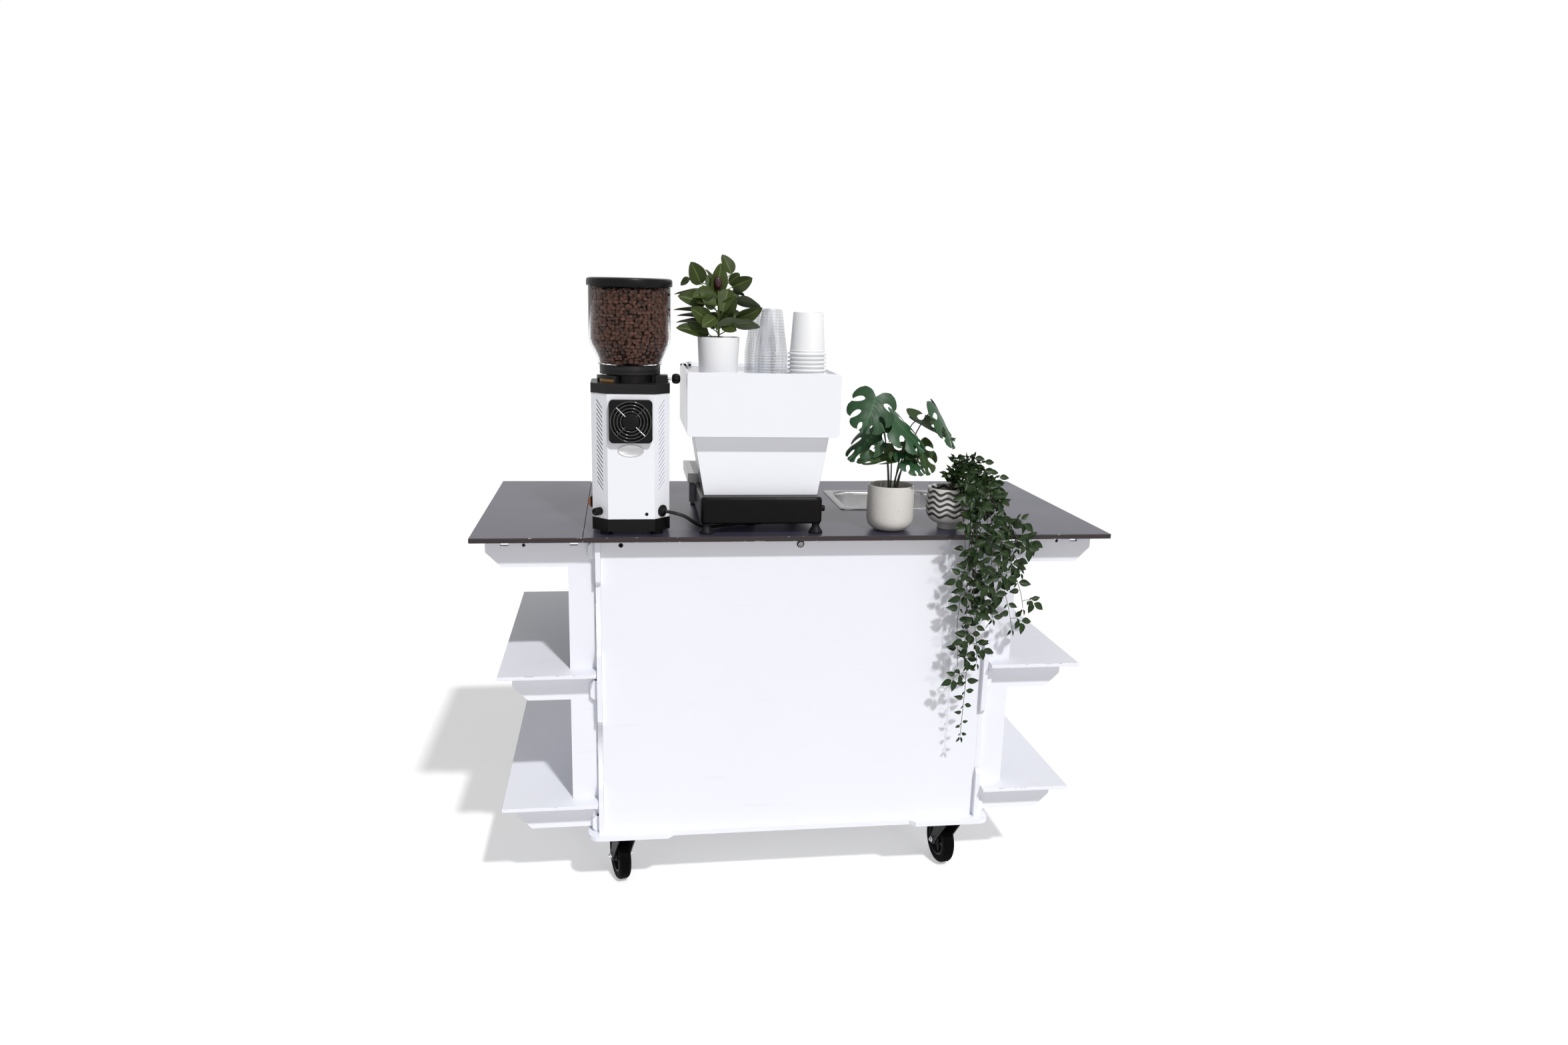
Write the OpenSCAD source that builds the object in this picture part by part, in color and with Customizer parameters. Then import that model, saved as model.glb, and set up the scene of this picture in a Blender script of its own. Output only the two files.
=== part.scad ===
// Mobile coffee cart: a slotted plywood body on swivel casters, two hook-on
// wings with shelves, and the bar equipment that stands on its worktop.
// Millimetres, +Z up, origin on the floor under the middle of the cart.
// The customers' side faces -Y and the barista stands on the +Y side.

/* [Worktop] */
// Height of the worktop above the floor
counter_h = 930; // [915:1:950]
// Depth of the worktop, front to back
top_d = 756; // [740:1:790]
// Width of the middle worktop board
main_w = 1028; // [1020:1:1040]
// Width of the leaf on each wing
leaf_w = 255; // [245:1:270]
// Thickness of the worktop boards
top_t = 12; // [10:1:14]

/* [Cart body] */
// Distance between the outer faces of the side panels
body_w = 976; // [970:1:984]
// Thickness of the slotted sheets
ply = 12; // [11:0.5:13]
// Setback of the front panel from the worktop's edge
panel_set = 40; // [38:1:44]
// How far the lugs of the side panels stand out
lug_out = 15; // [12:1:17]
// How far the tenons stand out past the sheets
ear_out = 11; // [8:1:13]
// Setback of the base plate's front edge
base_set = 22; // [20:1:26]
// How far the corner lugs of the base plate stand out
base_lug = 15; // [12:1:17]
// Length of the corner lugs of the base plate
base_lug_l = 196; // [180:1:210]
// Width of the bottom tenons of the front panel
tenon_w = 40; // [30:1:46]

/* [Sink] */
// Width of the sink's rim
sink_w = 326; // [310:1:332]
// Depth of the sink's rim, front to back
sink_d = 278; // [260:1:290]
// Depth of the bowl
bowl_h = 130; // [110:1:150]
// Width of the flat rim
rim_w = 20; // [16:1:24]

/* [Casters] */
// Height of the base plate's underside
caster_h = 157; // [155:1:165]
// Diameter of the wheels
wheel_d = 125; // [118:1:126]
// Width of the tyres
tyre_w = 30; // [28:1:32]
// Distance of the axle behind the swivel axis
trail = 45; // [40:1:48]
// Spokes in each wheel
spokes = 5; // [5:1:6]

/* [Wings] */
// Height of the middle shelf's upper face
mid_shelf_h = 594; // [580:1:610]
// Height of the lower shelf's upper face
low_shelf_h = 256; // [250:1:266]
// Thickness of the shelves
shelf_t = 9; // [8:1:11]
// Reach of the shelves past the body's side
shelf_w = 231; // [225:1:236]
// Height of the bracket arms
arm_h = 69; // [64:1:72]
// Width of the bracket's upright
spine_w = 62; // [56:1:66]
// Drop of the hooks
hook_drop = 10; // [8:1:12]

/* [Grinder] */
// Width of the grinder's column
column_w = 178; // [174:1:184]
// Cut of the column's corners
column_cut = 36; // [32:1:38]
// Height of the grinder's lid
grinder_h = 584; // [574:1:594]
// Diameter of the hopper
hopper_d = 188; // [182:1:192]
// Louvres on each corner face
louvres = 19; // [15:1:19]

/* [Espresso machine] */
// Width of the upper casing
casing_w = 358; // [350:1:366]
// Height of the machine
machine_h = 378; // [370:1:386]
// Depth of the upper casing
casing_d = 325; // [315:1:335]
// Width of the base
mbase_w = 290; // [280:1:300]

/* [Hidden] */
$fn = 48;

// Clearances: a slot fit, a gap between moving bodies, a running fit and an overrun of cuts
fit = 0.2;
gap = 0.3;
run = 0.05;
over = 1;
inset = 0.5;
shell = 2.5;

// Finishes
white_paint = [0.93, 0.93, 0.94];
dark_film = [0.13, 0.11, 0.12];
black_part = [0.05, 0.05, 0.055];
steel_part = [0.75, 0.76, 0.78];
clear_part = [0.85, 0.9, 0.92, 0.35];
leaf_green = [0.08, 0.22, 0.09];

// The vine hangs this far in front of the worktop and moves the middle of the cart by half of it
vine_reach = 46.7;
front_y = (vine_reach - top_d) / 2;
rear_y = front_y + top_d;
under_z = counter_h - top_t;
base_z = caster_h + ply;
panel_h = under_z - base_z;
side_x = body_w / 2;
in_x = side_x - ply;
panel_y = front_y + panel_set;
inner_y = panel_y + ply;
back_y = rear_y - panel_set;
seam = 1;
half_top = main_w / 2 + seam + leaf_w;

// Side panel lugs as shares of the panel's height: start, end, cut at the start, cut at the end
lug_shares = [[0, 0.182, 0, 1], [0.376, 0.64, 1, 1], [0.846, 1, 1, 0]];
// Side tenons of the front panel, as shares of its height
tenon_shares = [[0, 0.055], [0.466, 0.531], [0.936, 0.989]];
// Bottom tenons, as shares of the half width
foot_shares = [-0.6, 0, 0.6];
// Hook slots, as shares of the panel's height
hook_shares = [0.27, 0.745];
hook_h = 30;
hook_lip = 12;
tenon_cut = 6;
rail_h = 90;
shelf_share = 0.49;
corner_r = 28;

// Sheets: a profile in the YZ plane is extruded along X, one in the XZ plane along Y
module sheet_x(x0, t) translate([x0, 0, 0]) rotate([90, 0, 90]) linear_extrude(t) children();
module sheet_y(y0, t) translate([0, y0 + t, 0]) rotate([90, 0, 0]) linear_extrude(t) children();
module sheet_z(z0, t) translate([0, 0, z0]) linear_extrude(t) children();
module both_x() { children(); mirror([1, 0, 0]) children(); }

// Rectangle with round corners, centred
module soft_rect(w, d, r) {
    square([w - 2 * r, d], center = true);
    square([w, d - 2 * r], center = true);
    for (sx = [-1, 1], sy = [-1, 1]) translate([sx * (w / 2 - r), sy * (d / 2 - r)]) circle(r);
}

// Rectangle with cut corners, centred
module cut_rect(w, d, c) polygon([[c - w / 2, -d / 2], [w / 2 - c, -d / 2], [w / 2, c - d / 2],
    [w / 2, d / 2 - c], [w / 2 - c, d / 2], [c - w / 2, d / 2], [-w / 2, d / 2 - c], [-w / 2, c - d / 2]]);

// Cart body

bracket_y = inner_y + inset;
bracket_back_y = rear_y - (bracket_y - front_y) - ply;

module lug_2d(s, y_edge, dir) {
    z0 = base_z + s[0] * panel_h;
    z1 = base_z + s[1] * panel_h;
    polygon([[y_edge - dir * over, z0], [y_edge + dir * lug_out, z0 + s[2] * lug_out],
        [y_edge + dir * lug_out, z1 - s[3] * lug_out], [y_edge - dir * over, z1]]);
}

module side_2d() difference() {
    union() {
        translate([panel_y, base_z]) square([back_y - panel_y, panel_h]);
        for (s = lug_shares) lug_2d(s, panel_y, -1);
        lug_2d(lug_shares[2], back_y, 1);
    }
    for (s = tenon_shares) translate([panel_y - fit, base_z + s[0] * panel_h - fit])
        square([ply + 2 * fit, (s[1] - s[0]) * panel_h + 2 * fit]);
    translate([back_y - ply - fit, base_z + tenon_shares[2][0] * panel_h - fit])
        square([ply + 2 * fit, (tenon_shares[2][1] - tenon_shares[2][0]) * panel_h + 2 * fit]);
    for (s = hook_shares, y = [bracket_y, bracket_back_y]) translate([y - fit, base_z + s * panel_h - gap])
        square([ply + 2 * fit, hook_h + hook_drop + 2 * gap]);
}

module side_panel_right() color(white_paint) sheet_x(in_x, ply) side_2d();
module side_panel_left() color(white_paint) mirror([1, 0, 0]) sheet_x(in_x, ply) side_2d();

// Through tenon on the right edge of a sheet, with cut corners
module tenon_2d(s) {
    z0 = base_z + s[0] * panel_h;
    z1 = base_z + s[1] * panel_h;
    x1 = side_x + ear_out;
    polygon([[in_x - over, z0], [x1 - tenon_cut, z0], [x1, z0 + tenon_cut], [x1, z1 - tenon_cut],
        [x1 - tenon_cut, z1], [in_x - over, z1]]);
}

module foot_tenon_2d() {
    z0 = caster_h - ear_out;
    polygon([[-tenon_w / 2, base_z + over], [-tenon_w / 2, z0 + tenon_cut], [tenon_cut - tenon_w / 2, z0],
        [tenon_w / 2 - tenon_cut, z0], [tenon_w / 2, z0 + tenon_cut], [tenon_w / 2, base_z + over]]);
}

bolt_d = 8;
bolt_z = under_z - 16;
bolt_in = 48;
bolt_x = in_x - bolt_in;

module front_panel() color(white_paint) difference() {
    sheet_y(panel_y, ply) {
        translate([-in_x + fit, base_z]) square([2 * (in_x - fit), panel_h]);
        both_x() for (s = tenon_shares) tenon_2d(s);
        for (s = foot_shares) translate([s * in_x, 0]) foot_tenon_2d();
    }
    for (x = [-bolt_x, 0, bolt_x]) translate([x, panel_y - over, bolt_z]) rotate([-90, 0, 0])
        cylinder(d = bolt_d, h = ply + 2 * over);
}

module rear_rail() color(white_paint) sheet_y(back_y - ply, ply) {
    translate([-in_x + fit, under_z - rail_h]) square([2 * (in_x - fit), rail_h]);
    both_x() tenon_2d(tenon_shares[2]);
}

module inner_shelf() color(white_paint)
    translate([-in_x + fit, inner_y + fit, base_z + shelf_share * panel_h - ply])
        cube([2 * (in_x - fit), back_y - inner_y - fit, ply]);

// Half outline of the base plate, from its front middle round to its rear middle
base_x = main_w / 2;
base_f = front_y + base_set;
base_r = rear_y - base_set;
lug_x = base_x - base_lug_l;
function corner_pts(cx, cy, r, a0, a1, n) = [for (i = [0:n]) let (a = a0 + (a1 - a0) * i / n)
    [cx + r * cos(a), cy + r * sin(a)]];
module base_half() polygon(concat([[-over, base_f], [lug_x - base_lug, base_f], [lug_x, base_f - base_lug]],
    corner_pts(base_x - corner_r, base_f - base_lug + corner_r, corner_r, -90, 0, 5),
    corner_pts(base_x - corner_r, base_r + base_lug - corner_r, corner_r, 0, 90, 5),
    [[lug_x, base_r + base_lug], [lug_x - base_lug, base_r], [-over, base_r]]));

module base_plate() color(white_paint) difference() {
    sheet_z(caster_h, ply) both_x() base_half();
    for (s = foot_shares) translate([s * in_x - tenon_w / 2 - fit, panel_y - fit, caster_h - over])
        cube([tenon_w + 2 * fit, ply + 2 * fit, ply + 2 * over]);
    for (p = caster_at, sx = [-1, 1], sy = [-1, 1])
        translate([p[0] + sx * (plate_l / 2 - plate_bolt), p[1] + sy * (plate_w / 2 - plate_bolt), caster_h - over])
            cylinder(d = screw_shank + 2 * fit, h = screw_in + over);
}

// Worktop and sink

sink_side = 36;
sink_left = main_w / 2 - sink_side - sink_w;
sink_front = 311;
sink_x = sink_left + sink_w / 2;
sink_y = front_y + sink_front + sink_d / 2;
bowl_r = 42;
steel_t = 1.2;
drain_d = 45;
slot_w = 28;
slot_l = 66;
slot_turn = 25;
cord_slot = [-98, 149];
module slot_2d() rotate(slot_turn) {
    square([slot_l - slot_w, slot_w], center = true);
    for (s = [-1, 1]) translate([s * (slot_l - slot_w) / 2, 0]) circle(d = slot_w);
}

module main_top() color(dark_film) difference() {
    translate([-main_w / 2, front_y, under_z]) cube([main_w, top_d, top_t]);
    translate([sink_x, sink_y, under_z - over]) linear_extrude(top_t + 2 * over)
        soft_rect(sink_w - 2 * rim_w + 2 * over, sink_d - 2 * rim_w + 2 * over, bowl_r + over);
    translate([cord_slot[0], front_y + cord_slot[1], under_z - over]) linear_extrude(top_t + 2 * over) slot_2d();
}

// Socket box under the worktop, where the grinder's cord ends
box_w = 110;
box_d = 70;
box_h = 46;
module outlet_box() color(black_part) translate([cord_slot[0], front_y + cord_slot[1], under_z]) difference() {
    translate([-box_w / 2, -box_d / 2, -box_h]) cube([box_w, box_d, box_h]);
    translate([shell - box_w / 2, shell - box_d / 2, shell - box_h]) cube([box_w - 2 * shell, box_d - 2 * shell, box_h]);
}

module sink_basin() color(steel_part) difference() {
    union() {
        translate([sink_x, sink_y, counter_h]) linear_extrude(2 * steel_t) soft_rect(sink_w, sink_d, rim_w / 2);
        translate([sink_x, sink_y, counter_h - bowl_h]) linear_extrude(bowl_h + steel_t)
            soft_rect(sink_w - 2 * rim_w, sink_d - 2 * rim_w, bowl_r);
    }
    translate([sink_x, sink_y, counter_h - bowl_h + steel_t]) linear_extrude(bowl_h + 2 * over + steel_t)
        soft_rect(sink_w - 2 * rim_w - 2 * steel_t, sink_d - 2 * rim_w - 2 * steel_t, bowl_r - steel_t);
    translate([sink_x, sink_y, counter_h - bowl_h - over]) cylinder(d = drain_d, h = steel_t + 2 * over);
}

// Wings: the right one is drawn and the left one is its mirror image

wing_gap = 1.5;
wing_x = side_x + wing_gap;
spine_x = wing_x + spine_w;
shelf_x = side_x + shelf_w;
arm_in = 30;
top_arm_x = half_top - arm_in;
arm_x = shelf_x - arm_in;
arm_cut = 36;
shelf_front = 4;
shelf_back = 7;
notch_w = 19;
notch_h = 5;
notch_in = [44, 203];
peg_hole = 9;
peg_in = 88;
peg_down = 8;

module arm_2d(x1, z1) polygon([[wing_x, z1], [x1, z1], [x1, z1 - arm_h + arm_cut], [x1 - arm_cut, z1 - arm_h],
    [wing_x, z1 - arm_h]]);

module hook_2d(z0) {
    translate([in_x - inset - hook_lip, z0]) square([ply + inset + hook_lip + wing_gap + over, hook_h]);
    translate([in_x - inset - hook_lip, z0 - hook_drop + over]) square([hook_lip, hook_drop]);
}

module bracket_2d() difference() {
    union() {
        translate([wing_x, low_shelf_h - shelf_t - arm_h])
            square([spine_w, under_z - low_shelf_h + shelf_t + arm_h]);
        arm_2d(top_arm_x, under_z);
        arm_2d(arm_x, mid_shelf_h - shelf_t);
        arm_2d(arm_x, low_shelf_h - shelf_t);
        for (s = hook_shares) hook_2d(base_z + s * panel_h);
    }
    for (d = notch_in) translate([top_arm_x - d - notch_w / 2, under_z - notch_h]) square([notch_w, notch_h + over]);
    translate([top_arm_x - peg_in, under_z - peg_down]) circle(d = peg_hole);
    translate([wing_x - over, under_z - hook_drop - 2 * over])
        square([main_w / 2 + seam - wing_x + over, hook_drop + 3 * over]);
}

module wing_brackets() { sheet_y(bracket_y, ply) bracket_2d(); sheet_y(bracket_back_y, ply) bracket_2d(); }

module wing_shelf(z) difference() {
    translate([wing_x, front_y + shelf_front, z - shelf_t])
        cube([shelf_x - wing_x, top_d - shelf_front - shelf_back, shelf_t]);
    for (y = [bracket_y, bracket_back_y]) translate([wing_x - over, y - fit, z - shelf_t - over])
        cube([spine_w + over + fit, ply + 2 * fit, shelf_t + 2 * over]);
}

module wing_leaf() translate([main_w / 2 + seam, front_y, under_z]) cube([leaf_w, top_d, top_t]);

module right_brackets() color(white_paint) wing_brackets();
module right_leaf() color(dark_film) wing_leaf();
module right_mid_shelf() color(white_paint) wing_shelf(mid_shelf_h);
module right_low_shelf() color(white_paint) wing_shelf(low_shelf_h);
module left_brackets() color(white_paint) mirror([1, 0, 0]) wing_brackets();
module left_leaf() color(dark_film) mirror([1, 0, 0]) wing_leaf();
module left_mid_shelf() color(white_paint) mirror([1, 0, 0]) wing_shelf(mid_shelf_h);
module left_low_shelf() color(white_paint) mirror([1, 0, 0]) wing_shelf(low_shelf_h);

// Casters: the wheel trails behind the swivel axis along local +Y

caster_side = 88;
caster_x = main_w / 2 - caster_side;
caster_in = 70;
caster_yaw = [14, 8, -150, 160];
caster_at = [[-caster_x, front_y + caster_in], [caster_x, front_y + caster_in],
    [-caster_x, rear_y - caster_in], [caster_x, rear_y - caster_in]];
plate_w = 96;
plate_l = 86;
plate_t = 4;
boss_d = 52;
boss_h = 10;
pin_d = 16;
crown_t = 4;
crown_d = 50;
axle_d = 10;
leg_t = 3.5;
leg_gap = 1;
hub_d = 30;
hub_w = 36;
rim_t = 7;
web_t = 5;
groove_w = 3;
groove_h = 1.5;
plate_bolt = 9;
wheel_r = wheel_d / 2;
tyre_t = 14;
crown_z = caster_h - plate_t - boss_h - inset;
leg_x = hub_w / 2 + leg_gap;
boss_r = 13;

module at_caster(i) translate([caster_at[i][0], caster_at[i][1], 0]) rotate([0, 0, caster_yaw[i]]) children();

// Fasteners: the bolt at the top of the front panel and the screws of the caster plates
bolt_head = 14;
screw_shank = 6;
screw_head = 12;
screw_in = 9;
head_t = 4;
module bolts() color(steel_part) {
    translate([0, panel_y, bolt_z]) rotate([-90, 0, 0]) {
        translate([0, 0, -head_t]) cylinder(d = bolt_head, h = head_t);
        cylinder(d = bolt_d - 2 * fit, h = ply);
        translate([0, 0, ply]) cylinder(d = bolt_head, h = 2 * head_t, $fn = 6);
    }
    for (p = caster_at, sx = [-1, 1], sy = [-1, 1])
        translate([p[0] + sx * (plate_l / 2 - plate_bolt), p[1] + sy * (plate_w / 2 - plate_bolt), caster_h]) {
            translate([0, 0, -plate_t - head_t]) cylinder(d = screw_head, h = head_t, $fn = 6);
            translate([0, 0, -plate_t]) cylinder(d = screw_shank, h = plate_t + screw_in - inset);
        }
}

module caster_plates() color(black_part) for (i = [0:3]) translate([caster_at[i][0], caster_at[i][1], 0])
    difference() {
        union() {
            translate([0, 0, caster_h - plate_t]) linear_extrude(plate_t) soft_rect(plate_l, plate_w, plate_t * 2);
            translate([0, 0, caster_h - plate_t - boss_h]) cylinder(d = boss_d, h = boss_h + over);
        }
        translate([0, 0, caster_h - plate_t - boss_h - over])
            cylinder(d = pin_d + 2 * run, h = plate_t + boss_h + 2 * over);
        for (sx = [-1, 1], sy = [-1, 1])
            translate([sx * (plate_l / 2 - plate_bolt), sy * (plate_w / 2 - plate_bolt), caster_h - plate_t - over])
                cylinder(d = screw_shank + 2 * fit, h = plate_t + 2 * over);
    }

// One leg of the fork: a plate that narrows from the crown to the axle
module leg_2d() difference() {
    union() {
        polygon([[-crown_d / 2, crown_z], [crown_d / 2, crown_z], [trail + boss_r, wheel_r + boss_r / 4],
            [trail, wheel_r - boss_r], [trail - boss_r, wheel_r], [-crown_d / 2, crown_z - crown_t * 2]]);
        translate([trail, wheel_r]) circle(boss_r);
    }
}

module caster_fork(i) color(black_part) at_caster(i) {
    translate([0, 0, crown_z - crown_t]) linear_extrude(crown_t)
        square([2 * (leg_x + leg_t), crown_d], center = true);
    translate([0, 0, crown_z - over]) cylinder(d = pin_d, h = caster_h - crown_z);
    for (x = [leg_x, -leg_x - leg_t]) sheet_x(x, leg_t) leg_2d();
    translate([-leg_x - leg_t, trail, wheel_r]) rotate([0, 90, 0]) cylinder(d = axle_d, h = 2 * (leg_x + leg_t));
}

// Half section of the tyre and rim, with three grooves round the tread
module tyre_2d() difference() {
    union() {
        translate([wheel_r - tyre_t - rim_t, -tyre_w / 2]) square([rim_t + tyre_t - tyre_w / 4, tyre_w]);
        translate([wheel_r - tyre_w / 4 - over, tyre_w / 4 - tyre_w / 2]) square([tyre_w / 4 + over, tyre_w / 2]);
        for (s = [-1, 1]) translate([wheel_r - tyre_w / 4, s * tyre_w / 4]) circle(tyre_w / 4);
    }
    for (k = [-1, 0, 1]) translate([wheel_r - groove_h, k * tyre_w / 5 - groove_w / 2]) square([groove_h + over, groove_w]);
}

module spoke_window(a) rotate([0, 0, a]) translate([0, 0, -tyre_w]) linear_extrude(2 * tyre_w)
    polygon([[hub_d / 2 + web_t / 2, 0], [wheel_r - tyre_t - rim_t - web_t / 4, -web_t - hub_d / 4],
        [wheel_r - tyre_t - rim_t - web_t / 4, web_t + hub_d / 4]]);

module caster_wheel(i) color([0.09, 0.09, 0.095]) at_caster(i) translate([0, trail, wheel_r]) rotate([0, 90, 0])
    difference() {
        union() {
            rotate_extrude() tyre_2d();
            difference() {
                cylinder(r = wheel_r - tyre_t - rim_t + over, h = 3 * web_t, center = true);
                for (k = [0:spokes - 1]) spoke_window(k * 360 / spokes);
            }
            cylinder(d = hub_d, h = hub_w, center = true);
        }
        cylinder(d = axle_d + 2 * run, h = hub_w + 2 * over, center = true);
    }

module fork_fl() caster_fork(0);
module fork_fr() caster_fork(1);
module fork_rl() caster_fork(2);
module fork_rr() caster_fork(3);
module wheel_fl() caster_wheel(0);
module wheel_fr() caster_wheel(1);
module wheel_rl() caster_wheel(2);
module wheel_rr() caster_wheel(3);

// Grinder, its back turned to the customers

grinder_x = -403;
grinder_in = 18;
grinder_y = front_y + grinder_in + column_w / 2;
gfoot_h = 10;
gfoot_d = 30;
gbase_h = 29;
gbase_more = 2;
cap_h = 22;
cap_down = 256;
cap_z = grinder_h - cap_down;
lid_h = 19;
lid_more = 8;
neck_d = 146;
neck_down = 192;
neck_z = grinder_h - neck_down;
shoulder_down = 142;
shoulder_z = grinder_h - shoulder_down;
collar_z = cap_z + cap_h;
wall = 3;
lid_z = grinder_h - lid_h;
column_z = gfoot_h + gbase_h;
bean_top = lid_z - 14;

module at_grinder() translate([grinder_x, grinder_y, counter_h]) children();

module grinder_base() color(black_part) at_grinder() {
    translate([0, 0, gfoot_h]) linear_extrude(gbase_h) cut_rect(column_w + gbase_more, column_w + gbase_more, column_cut);
    for (sx = [-1, 1], sy = [-1, 1]) translate([sx * (column_w / 2 - gfoot_d), sy * (column_w / 2 - gfoot_d), 0])
        cylinder(d = gfoot_d, h = gfoot_h + over);
}

// Slanting louvre slots in the two corner faces that face the customers
louvre_z = 77;
louvre_step = 10.4;
louvre_l = 27;
louvre_w = 2.4;
louvre_cut = 4;
louvre_lean = 46;
module louvre_row(side) translate([side * (column_w - column_cut) / 2, (column_cut - column_w) / 2, 0])
    rotate([0, 0, side * 45]) for (k = [0:louvres - 1]) translate([0, 0, column_z + louvre_z + k * louvre_step])
        rotate([0, -side * louvre_lean, 0]) cube([louvre_l, 2 * louvre_cut, louvre_w], center = true);

module grinder_column() color(white_paint) at_grinder() difference() {
    translate([0, 0, column_z]) linear_extrude(cap_z - column_z) cut_rect(column_w, column_w, column_cut);
    translate([0, 0, column_z - over]) linear_extrude(cap_z - column_z + 2 * over)
        cut_rect(column_w - 2 * shell, column_w - 2 * shell, column_cut - shell / 2);
    louvre_row(-1);
    louvre_row(1);
}

// Cap with the block that carries the adjusting screw
block_w = 28;
block_d = 34;
block_h = 17;
block_x = 58;
screw_d = 8;
screw_up = 8;
module grinder_cap() color(black_part) at_grinder() difference() {
    union() {
        translate([0, 0, cap_z]) linear_extrude(cap_h) cut_rect(column_w + gbase_more, column_w + gbase_more, column_cut);
        translate([block_x, -block_d, collar_z - over]) cube([block_w, block_d, block_h + over]);
        difference() {
            arc_block(sector_from - guide_post, sector_turn + 2 * guide_post, 0, guide_more, -over, sector_h + guide_h);
            arc_block(sector_from, sector_turn, over, guide_more + over, -2 * over, sector_h);
        }
    }
    translate([block_x - over, -block_d / 2, collar_z + screw_up]) rotate([0, 90, 0])
        cylinder(d = screw_d + 2 * run, h = block_w + 2 * over);
}

// Brass sector of the grind setting, in a guide on the cap
sector_r = 76;
sector_in = 13;
sector_h = 9;
sector_from = 200;
sector_turn = 42;
guide_post = 4;
guide_more = 3;
guide_h = 7;
module arc_block(from, turn, less, more, z0, z1) translate([0, 0, collar_z + z0]) rotate([0, 0, from])
    rotate_extrude(angle = turn) translate([sector_r - sector_in - less, 0]) square([sector_in + less + more, z1 - z0]);
module adjust_sector() color([0.72, 0.53, 0.2]) at_grinder()
    arc_block(sector_from + guide_post / 4, sector_turn - guide_post / 2, 0, 0, 0, sector_h - inset);

collar_d = 112;
module grinder_collar() color(black_part) at_grinder() rotate_extrude() polygon([[neck_d / 4, collar_z],
    [collar_d / 2, collar_z], [collar_d / 2, collar_z + block_h + inset],
    [neck_d / 2 - wall, collar_z + block_h + inset], [neck_d / 2 - wall, neck_z - wall], [neck_d / 4, neck_z - wall]]);

// Hopper: one wall revolved, straight above and drawn in below
module hopper() color(clear_part) at_grinder() rotate_extrude() polygon([[neck_d / 4, neck_z - wall],
    [neck_d / 2, neck_z - wall], [neck_d / 2, neck_z + wall], [hopper_d / 2, shoulder_z], [hopper_d / 2, lid_z - gap],
    [hopper_d / 2 - wall, lid_z - gap], [hopper_d / 2 - wall, shoulder_z], [neck_d / 2 - wall, neck_z + wall],
    [neck_d / 2 - wall, neck_z], [neck_d / 4, neck_z]]);

module beans() color([0.23, 0.13, 0.08]) at_grinder() rotate_extrude() polygon([[0, neck_z + inset],
    [neck_d / 2 - wall - inset, neck_z + inset], [neck_d / 2 - wall - inset, neck_z + wall],
    [hopper_d / 2 - wall - inset, shoulder_z], [hopper_d / 2 - wall - inset, bean_top], [0, bean_top + wall]]);

lid_plug = 8;
module hopper_lid() color(black_part) at_grinder() difference() {
    union() {
        translate([0, 0, lid_z]) cylinder(d = hopper_d + lid_more, h = lid_h);
        translate([0, 0, lid_z - lid_plug]) cylinder(r = hopper_d / 2 - wall - inset, h = lid_plug + over);
    }
    translate([0, 0, lid_z - lid_plug - over]) cylinder(r = hopper_d / 2 - 2 * wall, h = lid_plug + wall);
}

// Cooling fan on the column's back
fan_w = 98;
fan_t = 14;
fan_r = 10;
fan_z = 267;
fan_bore = 88;
fan_hub = 38;
fan_blades = 7;
fan_back = 2;
blade_w = 9;
blade_t = 1.6;
fan_spindle = 6;
module at_fan() at_grinder() translate([0, -column_w / 2, fan_z]) rotate([90, 0, 0]) children();

module fan_box() color(black_part) at_fan() difference() {
    linear_extrude(fan_t) soft_rect(fan_w, fan_w, fan_r);
    translate([0, 0, fan_back]) difference() {
        cylinder(d = fan_bore, h = fan_t);
        translate([0, 0, -over]) cylinder(d = fan_spindle, h = fan_t - 2 * fan_back);
    }
}

module fan_rotor() color([0.1, 0.1, 0.1]) at_fan() difference() {
    translate([0, 0, fan_back + inset]) union() {
        cylinder(d = fan_hub, h = blade_w);
        for (k = [0:fan_blades - 1]) rotate([0, 0, k * 360 / fan_blades]) translate([fan_hub / 2 - over, 0, blade_w / 2])
            rotate([38, 0, 0]) translate([0, -blade_w / 2, -blade_t / 2])
                cube([fan_bore / 2 - fan_hub / 2 - over, blade_w, blade_t]);
    }
    cylinder(d = fan_spindle + 2 * run, h = 3 * fan_t, center = true);
}

// Chromed guard: rings of round wire on four bars
guard_rings = 4;
guard_r = 44.2;
guard_in = 21.8;
wire_d = 2.4;
module fan_guard() color(steel_part) at_fan() translate([0, 0, fan_t]) {
    for (k = [0:guard_rings - 1]) rotate_extrude()
        translate([guard_in + (guard_r - guard_in) * k / (guard_rings - 1), 0]) square([wire_d, wire_d]);
    difference() {
        for (a = [45, 135]) rotate([0, 0, a]) translate([-guard_r - wire_d, -wire_d / 2, 0])
            cube([2 * (guard_r + wire_d), wire_d, wire_d / 2]);
        translate([0, 0, -over]) cylinder(r = guard_in, h = 2 * wire_d);
    }
}

// Star knob on the adjusting screw
knob_d = 25;
knob_l = 21;
knob_gap = 10;
lobes = 7;
lobe_d = 7;
module adjust_knob() color(black_part) at_grinder() translate([block_x, -block_d / 2, collar_z + screw_up])
    rotate([0, 90, 0]) {
        cylinder(d = screw_d, h = block_w + knob_gap + over);
        translate([0, 0, block_w + knob_gap]) difference() {
            cylinder(d = knob_d, h = knob_l);
            for (k = [0:lobes - 1]) rotate([0, 0, k * 360 / lobes]) translate([knob_d / 2 + lobe_d / 5, 0, -over])
                cylinder(d = lobe_d, h = knob_l + 2 * over);
        }
    }

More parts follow.
